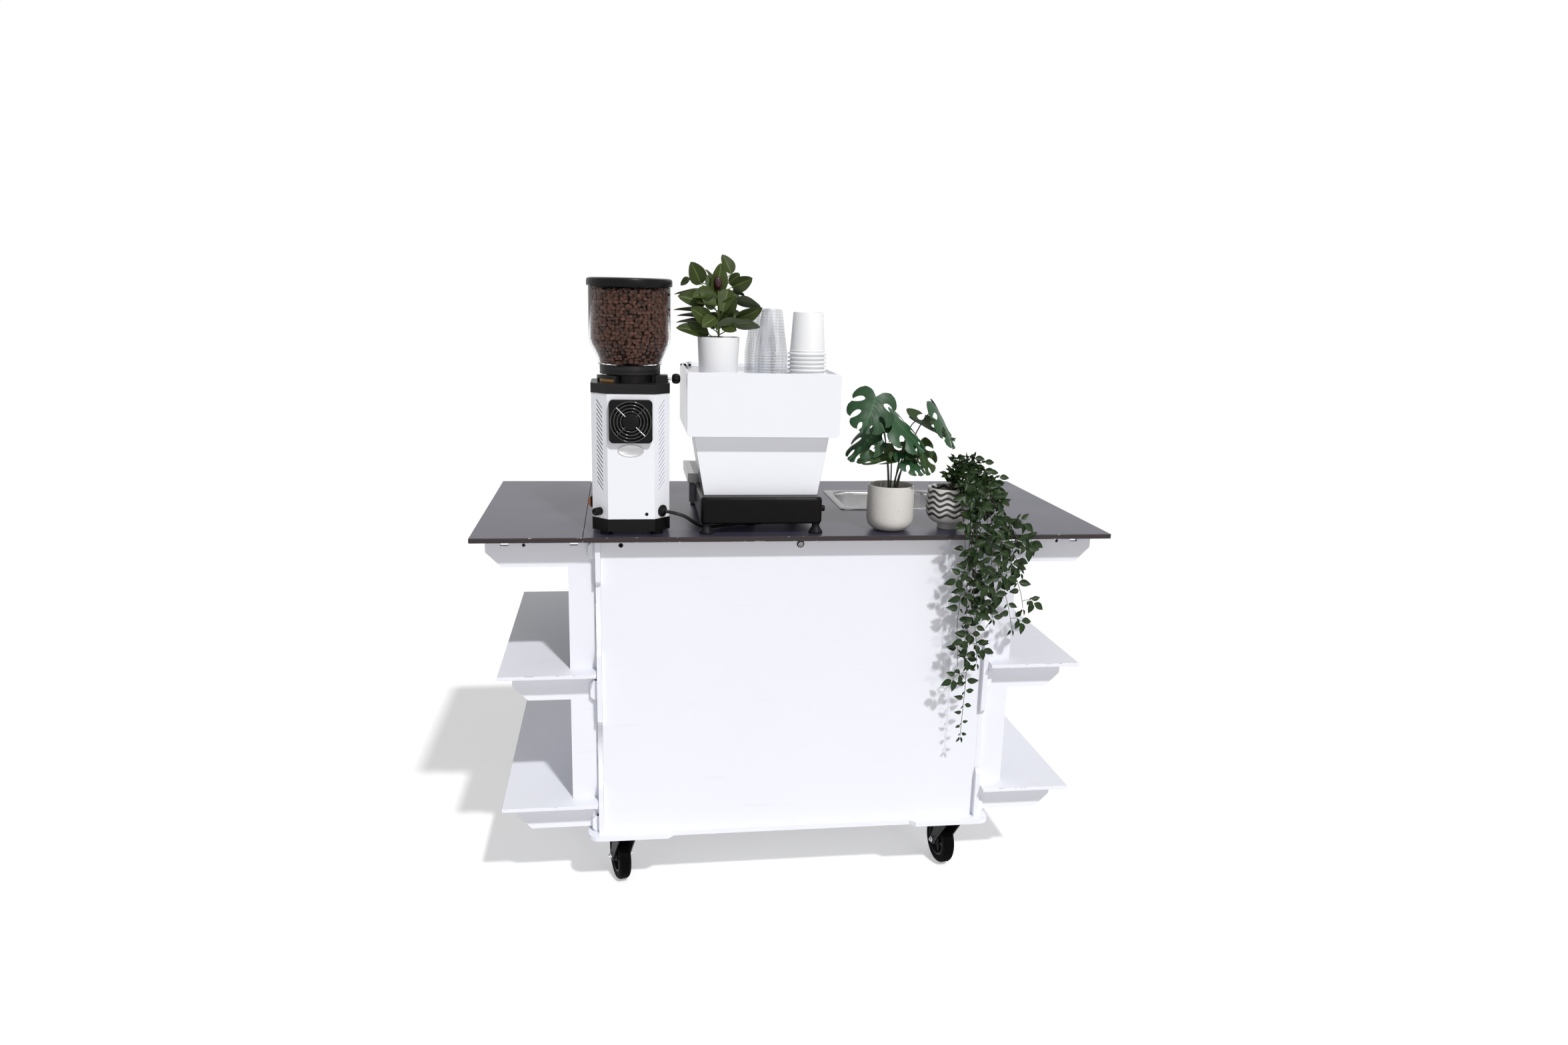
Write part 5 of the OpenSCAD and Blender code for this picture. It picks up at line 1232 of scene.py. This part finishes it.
steam = {"at": bench(32, 325, 0), "start": bench(32, 325, 213), "lean": 25, "pipe": (-4, 20, 50, 82),
         "pipeRadius": 4.2,
         "socket": [(0, 230.6), (11, 230.6), (13, 229.4), (13, 219), (12, 215.6), (9, 213), (0, 212.4)],
         "ball": [(0, -9), (4, -8), (7, -5), (8.4, 0), (7, 5), (4, 8), (0, 9)], "ballAlong": 2,
         "tip": [(0, 0), (5, 0), (5, 9), (4.2, 12.6), (2.4, 14.2), (0, 14.4)], "tipAlong": 81,
         "knobAt": bench(32, 351.3, 323), "flutes": 8, "flute": 0.055, "fluteFrom": 17,
         "knob": [(0, 0), (5, 0), (5, 11.6), (13, 12), (17.6, 13.4), (19.6, 16.6), (20, 20), (20, 32), (18.8, 35.6),
                  (15, 37.8), (0, 38)]}


def addSteam():
    lean, start = math.radians(steam["lean"]), steam["start"]
    way = Vector((0, math.sin(lean), -math.cos(lean)))
    socket = turned("wandSocket", steam["socket"], steam["at"], steps=32)
    pipe = rod("wandPipe", [start + way * d * mm for d in steam["pipe"]], steam["pipeRadius"] * mm, 4)
    ball = turned("wandBall", steam["ball"], start + way * steam["ballAlong"] * mm, steps=24)
    tip = turned("wandTip", steam["tip"], start + way * steam["tipAlong"] * mm, way, 24)
    fitted(dressed(joined("steamWand", [socket, pipe, ball, tip]), chrome), "wand", "bright_steel", "steam_wand")
    knob = turned("steamKnob", steam["knob"], axis=(0, 1, 0), steps=64)
    for v in knob.data.vertices:  # flutes round the edge
        if math.hypot(v.co.x, v.co.z) > steam["fluteFrom"] * mm:
            k = 1 - steam["flute"] * (0.5 + 0.5 * math.cos(steam["flutes"] * math.atan2(v.co.z, v.co.x))) ** 2
            v.co.x *= k
            v.co.z *= k
    knob.data.transform(Matrix.Translation(steam["knobAt"]))
    fitted(dressed(knob, plasticBlack), "valve", "black_plastic", "steam_knob")


addMachineCase()
addGroup()
addSteam()
print("espresso machine ready")

pots = {"cream": {"at": bench(225, 74, 0), "soil": (50.3, 92, 10),
                  "section": [(0, 0), (26, 0), (30, 0.6), (38, 2.4), (45.6, 6.4), (51.6, 12.4), (55.4, 20),
                              (57.2, 29), (57.4, 40), (57, 70), (56.2, 108), (55.6, 111.2), (54.2, 112),
                              (52.4, 111.4), (51.4, 109), (52.3, 70), (52.4, 32), (48, 20), (35, 6), (0, 5)]},
        "wavy": {"at": waves["at"], "soil": (48.2, 84, 10),
                 "section": [(0, 0), (23.6, 0), (25, 0.8), (25, 12), (26, 14.4), (30.8, 15), (36.4, 16.8),
                             (41.6, 19.8), (46.2, 24), (49.8, 29), (52.8, 35.2), (54.6, 42), (55, 48), (54.6, 62),
                             (53.6, 84), (52.8, 100), (52, 102.6), (50.6, 103), (49, 102.2), (48.2, 100), (49.8, 60),
                             (49.8, 48), (44, 34), (25, 19), (0, 19)]},
        "white": {"at": bench(-199, 92, 372), "soil": (43.2, 70, 10),
                  "section": [(0, 0), (43, 0), (44.4, 0.6), (45, 2), (48.6, 82), (48.6, 83.4), (47.8, 84),
                              (46.6, 83.8), (46, 82), (42, 3.4), (41, 3), (0, 3)]}}


def addPot(key, name, material, node, slot, body):
    pot = pots[key]
    fitted(dressed(turned(name, pot["section"], pot["at"], steps=72), material), body, slot, node)


def soilBed(name, key):
    at, (radius, height, thick) = pots[key]["at"], pots[key]["soil"]
    section = [(0, height), (radius * 0.3, height + 1), (radius * 0.6, height - 0.5), (radius * 0.9, height),
               (radius, height - 1.5), (radius * 0.985, height - thick), (0, height - thick)]
    bed = turned(name, section, at, steps=40)
    for v in bed.data.vertices:  # crumbs on the upper side
        if v.co.z > at.z + (height - 3) * mm:
            v.co.z += dice.uniform(-1.6, 1.2) * mm
    return dressed(bed, potBark)


def leafBlade(name, rows, columns, shape, curl, fold, thick, wave=0.0):
    # unit length along X and unit width along Y, closed by a thin second side
    activate()
    bpy.ops.mesh.primitive_grid_add(x_subdivisions=rows, y_subdivisions=columns, size=1)
    leaf = settle(bpy.context.object, name)
    chart = leaf.data.uv_layers.active
    chart.name = "leafMap"
    for loop in leaf.data.loops:
        spot = leaf.data.vertices[loop.vertex_index].co
        chart.data[loop.index].uv = (spot.y + 0.5, spot.x + 0.5)
    for v in leaf.data.vertices:
        t, across = v.co.x + 0.5, v.co.y * 2
        half = 0.5 * shape(t)
        v.co = (t, across * half, fold * abs(across) * half - curl * t * t
                + wave * math.sin(9 * t + 2 * across) * abs(across))
    edit(leaf)
    bpy.ops.mesh.remove_doubles(threshold=0.0001)
    leaveEdit()
    return twoSided(leaf, thick)


def twoSided(leaf, thick):
    modifier = leaf.modifiers.new("body", "SOLIDIFY")
    modifier.thickness, modifier.offset = thick, 0
    applyAll(leaf)
    chart = leaf.data.uv_layers.active
    for face in leaf.data.polygons:
        if face.normal.z < -0.2:
            for loop in face.loop_indices:
                chart.data[loop].uv.x += 2
    return leaf


def leafPlace(start, end, across, wide, under=False):  # the upper side faces the customers, or the lower one
    run = Vector(end) - Vector(start)
    place = axes(run, across, start)
    away = (place.to_3x3() @ Vector((0, 0, 1))).dot(Vector((-0.1, -0.6, 0.8))) < 0
    if away != under:
        place = axes(run, -Vector(across), start)
    return place @ Matrix.Diagonal((run.length, wide, run.length, 1))


# leaves of the broad plant: start, end, width, turn about the midrib in degrees
broad = {"budAt": (-3, -7, 204), "budWay": (-0.1, -0.25, 1), "widen": 1.14,
         "stem": ((0, 0, 62), (1, 1, 110), (-1, -1, 160), (-2, -4, 194)), "stemRadius": 2.4, "petioleRadius": 1.3,
         "bud": [(0, -14.4), (3.4, -14), (6.8, -10.6), (9, -4), (9.2, 3), (7.6, 9.6), (4.6, 14), (1.6, 16.4),
                 (0, 16.8)],
         "leaves": [((8, -10, 140), (36, -34, 174), 34, 20), ((-10, -12, 150), (-42, -38, 186), 34, 25),
                    ((6, -14, 122), (34, -44, 100), 30, 30), ((-8, -16, 128), (-40, -46, 110), 32, 30),
                    ((29, 8, 226), (10, 16, 271), 30, 25), ((-5, 2, 180), (5, -4, 249), 37, 10),
                    ((-42, -4, 201), (-64, -22, 249), 38, 10), ((-66, 14, 213), (-89, 26, 200), 18, 40),
                    ((29, 4, 197), (78, 0, 216), 34, 20), ((22, 14, 206), (52, 22, 226), 30, 30),
                    ((-13, -10, 186), (-62, -40, 177), 30, 40), ((-30, -4, 160), (-93, -18, 177), 38, 25),
                    ((4, -20, 158), (-52, -34, 166), 26, 50), ((20, -14, 193), (5, -40, 143), 34, 15),
                    ((34, -2, 164), (99, -18, 156), 34, 50), ((38, -6, 124), (98, -26, 149), 32, 20),
                    ((35, -8, 108), (94, -30, 114), 30, 40), ((-8, -20, 106), (65, -50, 126), 26, 45),
                    ((-22, -14, 118), (-63, -42, 148), 36, 15), ((-22, -6, 90), (-96, -28, 108), 34, 35),
                    ((-26, 12, 112), (-95, 30, 122), 34, 80), ((-26, 14, 134), (-100, 28, 151), 34, 82),
                    ((-24, 18, 122), (-92, 40, 137), 32, 78), ((-22, 10, 180), (-100, 24, 187), 34, 84),
                    ((14, 4, 150), (22, -8, 110), 34, 20), ((-6, 10, 140), (-16, 14, 100), 34, 20),
                    ((30, 2, 188), (60, -6, 181), 22, 60), ((-14, 6, 206), (-28, 12, 237), 14, 50),
                    ((-24, 2, 196), (-28, -2, 224), 20, 40), ((10, 20, 150), (50, 66, 190), 38, -30),
                    ((0, 22, 170), (-26, 70, 205), 38, -20), ((20, 26, 120), (64, 62, 140), 36, -30),
                    ((-14, 26, 120), (-60, 66, 150), 36, -30)]}


def addBroadPlant():
    at = pots["white"]["at"]
    leaf = leafBlade("broadBlade", 12, 6, lambda t: math.sin(math.pi * t ** 0.84) ** 0.64 * (1 - 0.1 * t), 0.12, 0.22,
                     0.011, 0.012)
    places, stems = [], [rod("stem", [at + Vector(p) * mm for p in broad["stem"]], broad["stemRadius"] * mm, 3)]
    for start, end, wide, tilt in broad["leaves"]:
        s = Vector(start)
        run = (Vector(end) - s).normalized()
        turn = math.radians(tilt)
        across = run.cross(Vector((0, -1, 0))).normalized() * math.cos(turn) + Vector((0, math.sin(turn), 0))
        places.append(leafPlace(at + s * mm, at + Vector(end) * mm, across, wide * broad["widen"] * mm))
        path = [Vector((0, 0, s.z - 20)), Vector((s.x * 0.45, s.y * 0.45, s.z - 12)), s - run * 3, s + run * 6]
        stems.append(rod("petiole", [at + p * mm for p in path], broad["petioleRadius"] * mm, 2, 0.7))
    leaves = dressed(repeated("broadLeaves", leaf, places), broadSkin)
    bpy.data.objects.remove(leaf)
    stems = dressed(joined("broadStems", stems), stalkLight)
    bud = turned("broadBud", broad["bud"], at + Vector(broad["budAt"]) * mm, Vector(broad["budWay"]).normalized(), 24)
    fitted(leaves, "cart", "leaf", "broad_leaf_plant")
    fitted(stems, "cart", "leaf")
    fitted(dressed(bud, budSkin), "cart", "leaf")
    fitted(soilBed("whiteSoil", "white"), "cart", "bean")


# leaves of the split plant: heart, tip, the way its width runs, its width, whether its underside shows
split = {"edges": (0, 0.2, 0.42, 0.66, 1.0), "slot": 0.4, "part": 0.42,
         "leaves": [((-57, -40, 327), (-90, -78, 250), (0.86, 0.15, 0.45), 96, False),
                    ((-13, -25, 281), (62, -72, 208), (0.4, 0.83, 0.38), 92, False),
                    ((-33, -5, 256), (-116, -38, 182), (-0.46, 0.78, 0.43), 76, False),
                    ((30, -24, 190), (-94, -34, 168), (0.1, 0.6, 0.8), 46, True),
                    ((25, -30, 190), (58, -72, 150), (0.9, 0.3, -0.2), 70, False),
                    ((66, 0, 208), (80, -20, 136), (0.75, 0.6, -0.1), 72, True),
                    ((105, 10, 298), (160, -12, 208), (0.35, 0.9, 0.05), 98, False),
                    ((60, 34, 264), (158, 40, 206), (0.25, 0.93, 0.12), 78, True)]}


def splitBlade(name):
    # broad lobes on both sides of the midrib, parted by drop-shaped slots; heart to tip is one unit
    points, faces, chart = [], [], []
    rows = (0, 0.2, 0.4, 0.44, 0.5, 0.58, 0.68, 0.8, 0.92, 1.0)
    columns = (-1, -0.6, -0.2, 0.2, 0.6, 1)
    edges, slot = split["edges"], split["slot"]
    for side in (-1, 1):
        for j in range(len(edges) - 1):
            middle, half = (edges[j] + edges[j + 1]) / 2, (edges[j + 1] - edges[j]) / 2
            first = len(points)
            for u in rows:
                free = max(0, (u - slot) / (1 - slot))  # 0 at the slot's end, 1 at the leaf's edge
                gap = split["part"] * math.sin(math.pi * 0.9 * free ** 0.6)
                for w in columns:
                    closed = (j == 0 and w < 0) or (j == len(edges) - 2 and w > 0)
                    v = min(middle + w * half * (1 if closed else 1 - gap), 0.999)
                    heading = math.radians(142 - 132 * v ** 0.8)
                    c, s = math.cos(heading), math.sin(heading)
                    qa, qb = (c / 0.72) ** 2 + (s / 0.62) ** 2, 2 * c * (v - 0.28) / 0.72 ** 2
                    qc = ((v - 0.28) / 0.72) ** 2 - 1
                    reach = (-qb + math.sqrt(max(qb * qb - 4 * qa * qc, 0))) / (2 * qa)
                    far = u * reach * (1 - 0.12 * free * abs(w) ** 3)
                    bend = heading - 0.3 * free
                    ripple = 0.015 * math.sin(5 * v + 3 * side)
                    lift = 0.14 * far - 0.62 * far * far + ripple - 0.16 * v * v - 0.02 * w * w * u
                    points.append((v + far * math.cos(bend), side * far * math.sin(bend), lift))
                    chart.append((0.5 + side * 0.5 * u, v))
            count = len(columns)
            for i in range(len(rows) - 1):
                for k in range(count - 1):
                    low = first + i * count + k
                    quad = (low, low + 1, low + count + 1, low + count)
                    faces.append(quad if side < 0 else quad[::-1])
    leaf = drawn(name, points, faces)
    layer = leaf.data.uv_layers.new(name="leafMap")
    for loop in leaf.data.loops:
        layer.data[loop.index].uv = chart[loop.vertex_index]
    edit(leaf)
    bpy.ops.mesh.remove_doubles(threshold=0.004)
    bpy.ops.mesh.normals_make_consistent(inside=False)
    leaveEdit()
    if sum(face.normal.z for face in leaf.data.polygons) < 0:
        leaf.data.flip_normals()
    return twoSided(leaf, 0.008)


def addSplitPlant():
    at = pots["cream"]["at"]
    leaf = splitBlade("splitBlade")
    places, stems = [], []
    for heart, tip, across, wide, under in split["leaves"]:
        h, run = Vector(heart), Vector(tip) - Vector(heart)
        places.append(leafPlace(at + h * mm, at + Vector(tip) * mm, across, wide * mm, under))
        low = pots["cream"]["soil"][1]
        path = [Vector((h.x / 8, h.y / 8, 84)), Vector((h.x / 5, h.y / 5, low + (h.z - low) * 0.25)),
                Vector((h.x / 2.4, h.y / 2.4, low + (h.z - low) * 0.62)), Vector((h.x * 0.86, h.y * 0.86, h.z + 2)),
                h + run * 0.06]
        stems.append(rod("stalk", [at + p * mm for p in path], 1.9 * mm, 3, 0.65))
    leaves = dressed(repeated("splitLeaves", leaf, places), splitSkin)
    bpy.data.objects.remove(leaf)
    fitted(leaves, "cream_plant", "leaf", "split_leaf_plant")
    fitted(dressed(joined("splitStalks", stems), stalkDark), "cream_plant", "leaf")
    fitted(soilBed("creamSoil", "cream"), "cream_plant", "bean")


# strands of the vine: place along the worktop's edge, reach in front of it, place and height of the end
vine = {"soil": 84, "arch": 60, "edge": 24, "toEdge": 86, "share": 0.36, "long": 29, "wide": 16.5, "step": 24,
        "spray": [(0.4, 64, 0.85, 1), (0.42, -36, 0.5, 0.6), (0.4, 108, 0.45, 0.6), (0.7, -60, 0.85, 1),
                  (0.94, 46, 1, 1), (1, -24, 1.05, 1)],
        "strands": [(14, 14, 16, -335), (26, 22, 40, -515), (34, 28, 60, -320), (48, 24, 78, -196),
                    (70, 33.1, 92, -205), (96, 20, 146, -236), (112, 24, 172, -182), (122, 16, 160, -92),
                    (132, 14, 152, -30), (30, 20, 34, -180), (84, 16, 112, -150), (126, 18, 148, -14)],
        "sprigs": [(60, 0, 152), (24, 2, 150), (16, -18, 136), (98, 4, 138), (104, -18, 100), (34, 20, 146),
                   (80, -14, 146), (36, -26, 146), (70, 26, 134), (22, -32, 138), (52, -36, 132), (88, 18, 120),
                   (112, -6, 114), (46, 6, 156), (120, -10, 128), (18, 8, 172), (56, -4, 174), (84, 2, 164),
                   (-8, -8, 134)]}


def strandPoint(strand, share):
    ex, reach, endX, endZ = strand
    ye = -vine["toEdge"] - reach
    if share < vine["share"]:
        t = share / vine["share"]
        return Vector((ex * t, ye * t, vine["soil"] + 4 * vine["arch"] * t * (1 - t)
                       + (vine["edge"] - vine["soil"]) * t))
    t = (share - vine["share"]) / (1 - vine["share"])
    return Vector((ex + (endX - ex) * t, ye + reach / 3 * t * t, vine["edge"] + (endZ - vine["edge"]) * t))


def vineLeaf(places, at, root, way, size, slim=1.0):
    facing = Vector((dice.uniform(-0.5, 0.5), -1, dice.uniform(-0.2, 0.7)))
    start = at + (root + way * 3) * mm
    places.append(leafPlace(start, start + way * vine["long"] * size * mm, facing.cross(way),
                            vine["wide"] * size * slim * mm))


def vineSpray(places, twigs, at, root, way, reach):
    # a side twig that hangs over, with leaves left and right of it and two narrow leaflets
    knee = root + way * reach * 0.62 + Vector((0, 0, 0.04 * reach))
    end = root + way * reach * 0.92 + Vector((0, 0, -0.46 * reach))
    twigs.append([at + p * mm for p in (root, knee, end)])
    hand = dice.choice((-1, 1))
    for t, angle, size, slim in vine["spray"]:
        spot = root * (1 - t) ** 2 + knee * 2 * t * (1 - t) + end * t * t
        run = ((knee - root) * (1 - t) + (end - knee) * t).normalized()
        turn = Matrix.Rotation(math.radians(angle * hand + dice.uniform(-14, 14)), 3, Vector((0, -1, 0.2)))
        vineLeaf(places, at, spot, (turn @ run).normalized(), size * dice.uniform(0.88, 1.1), slim)


def addVine():
    at = pots["wavy"]["at"]
    leaf = leafBlade("vineBlade", 6, 4, lambda t: math.sin(math.pi * t ** 0.74), 0.16, 0.3, 0.018)
    places, twigs, strands, sprigs = [], [], [], []
    for strand in vine["strands"]:
        path = [strandPoint(strand, k / 90) for k in range(91)]
        phase, gone, hand, count = dice.uniform(0, 6), dice.uniform(-12, 10), dice.choice((-1, 1)), dice.randint(0, 2)
        for k, p in enumerate(path):  # a little sway
            p.x += 4.5 * math.sin(k * 0.13 + phase) * min(1, k / 20)
        for k in range(12, 90):
            gone += (path[k] - path[k - 1]).length
            if gone < vine["step"] * (1 if path[k].z > -340 else 0.55):
                continue
            gone, hand, count = dice.uniform(-6, 6), -hand, count + 1
            small = 1 - 0.45 * min(1, max(0, -path[k].z - 330) / 150)  # the longest strand ends in small leaves
            out = Vector((hand, dice.uniform(-0.5, 0.1), dice.uniform(-0.6, 0.3)))
            if k < 36:
                out = Vector((hand * dice.uniform(0.3, 1), dice.uniform(-0.8, 0.2), dice.uniform(0.1, 0.9)))
            if count % 3 == 0 and small > 0.9:
                out.z = abs(out.z) + 0.1
                if path[k].x < 30:  # none past the pot on its left
                    out.x = abs(out.x)
                vineSpray(places, twigs, at, path[k], out.normalized(), dice.uniform(36, 54) * (1 if k < 76 else 0.7))
            else:
                vineLeaf(places, at, path[k], out.normalized(), dice.uniform(0.82, 1.12) * small)
                if count % 2:
                    vineLeaf(places, at, path[k], Vector((-hand * 0.6, -0.3, -0.8)).normalized(), 0.5 * small, 0.6)
        for way in ((0.3, -0.1, -1), (-0.5, -0.1, -0.8)):
            vineLeaf(places, at, path[-1], Vector(way).normalized(), 0.6, 0.6)
        strands.append([at + p * mm for p in path[::5]])
    for sprig in vine["sprigs"]:
        s = Vector(sprig)
        bend = [Vector((0, 0, 82)), Vector((s.x * 0.22, s.y * 0.22, max(84 + (s.z - 84) * 0.6, 112))),
                Vector((s.x * 0.55, s.y * 0.55, max(s.z, 124))), Vector((s.x * 0.82, s.y * 0.82, max(s.z, 112))), s]
        sprigs.append([at + p * mm for p in bend])
        for p in throughPoints(bend, 5)[5::3]:
            for hand in (-1, 1):
                way = Vector((hand * dice.uniform(0.2, 1), dice.uniform(-1, 0.6),
                              dice.uniform(-0.1, 0.8))).normalized()
                vineLeaf(places, at, p, way, dice.uniform(0.45, 0.8), 0.72)
        vineLeaf(places, at, s, (s - bend[-2]).normalized(), 0.9)
    leaves = dressed(repeated("vineLeaves", leaf, places), vineSkin)
    bpy.data.objects.remove(leaf)
    fitted(leaves, "cart", "leaf", "vine")
    stems = [rods("strands", strands, 1.1 * mm, 2, 0.6), rods("sprigs", sprigs, 1.0 * mm, 2, 0.7),
             rods("twigs", twigs, 0.65 * mm, 1)]
    fitted(dressed(joined("vineStems", stems), twigBrown), "cart", "leaf")
    fitted(soilBed("wavySoil", "wavy"), "cart", "bean")
    print("vine leaves:", len(places))


cups = {"stacks": (bench(-75, 92, 372), bench(-88, 190, 372)), "count": 8, "step": 6, "rim": 39, "low": 24,
        "tall": 107,
        "bands": 15, "band": 6.6, "plain": 8,
        "crown": [(0, 105.2), (18.6, 105.2), (19.6, 106.8), (22.8, 107), (23.9, 106), (24.5, 103)],
        "lip": [(38.0, 4.4), (39.0, 3.4), (39.3, 2.0), (39.0, 0.7), (37.8, 0.2)],
        "lids": bench(11, 92, 372), "lidCount": 6, "lidStep": 9.4,
        "lid": [(40.4, 0.4), (43.6, 0.2), (45.3, 1.0), (45.9, 2.4), (45.7, 3.6), (44.4, 4.4), (42.0, 4.8),
                (40.6, 5.8), (40.2, 8.8)],
        "lidTop": [(40.6, 55.4), (34, 55.6), (0, 55.8)],
        "paper": [(40.6, 54.6), (41.5, 55.2), (41.8, 56.6), (41.3, 58), (40.7, 58.4), (35.2, 143), (34.6, 144.4),
                  (33, 144.4), (32.4, 143), (31.8, 141.4), (0, 141.4), (0, 140.6), (32.6, 140.6), (38.4, 60),
                  (39.6, 55)]}


def lifted(section, by):
    return [(r, z + by) for r, z in section]


def addCups():
    # the outermost cup with the rims of the nested ones below it, all mouth down
    lift = (cups["count"] - 1) * cups["step"]
    slope = (cups["rim"] - cups["low"]) / cups["tall"]
    wall = lifted(cups["crown"], lift)
    for k in range(1, cups["bands"]):
        z = lift + cups["crown"][-1][1] - k * cups["band"]
        r = cups["low"] + slope * (cups["tall"] - z + lift)
        wall += [(r - 0.25, z + 1.4), (r + 0.1, z)] if k > cups["plain"] else [(r, z)]
    for k in range(cups["count"]):
        wall += lifted(cups["lip"], lift - k * cups["step"])
    stacks = [turned("cupStack", wall, at, steps=56, angle=35) for at in cups["stacks"]]
    fitted(dressed(joined("clearCups", stacks), cupClear), "cart", "clear", "clear_cups")
    section = [(0, 0)]
    for k in range(cups["lidCount"]):
        section += lifted(cups["lid"], k * cups["lidStep"])
    lids = turned("lids", section + cups["lidTop"], cups["lids"], steps=64, angle=50)
    paper = turned("paper", cups["paper"], cups["lids"], steps=64, angle=45)
    fitted(dressed(joined("cupLids", [lids, paper]), cardWhite), "lids", "white_card", "cup_lids")


addPot("cream", "creamPot", creamGlaze, "cream_pot", "cream_glaze", "cream_plant")
addPot("wavy", "wavyPot", wavePot, "wavy_pot", "wave_glaze", "cart")
addPot("white", "whitePot", potWhite, "white_pot", "white_ceramic", "cart")
addBroadPlant()
addSplitPlant()
addVine()
addCups()
print("pots, plants and cups ready")

print("pieces done")
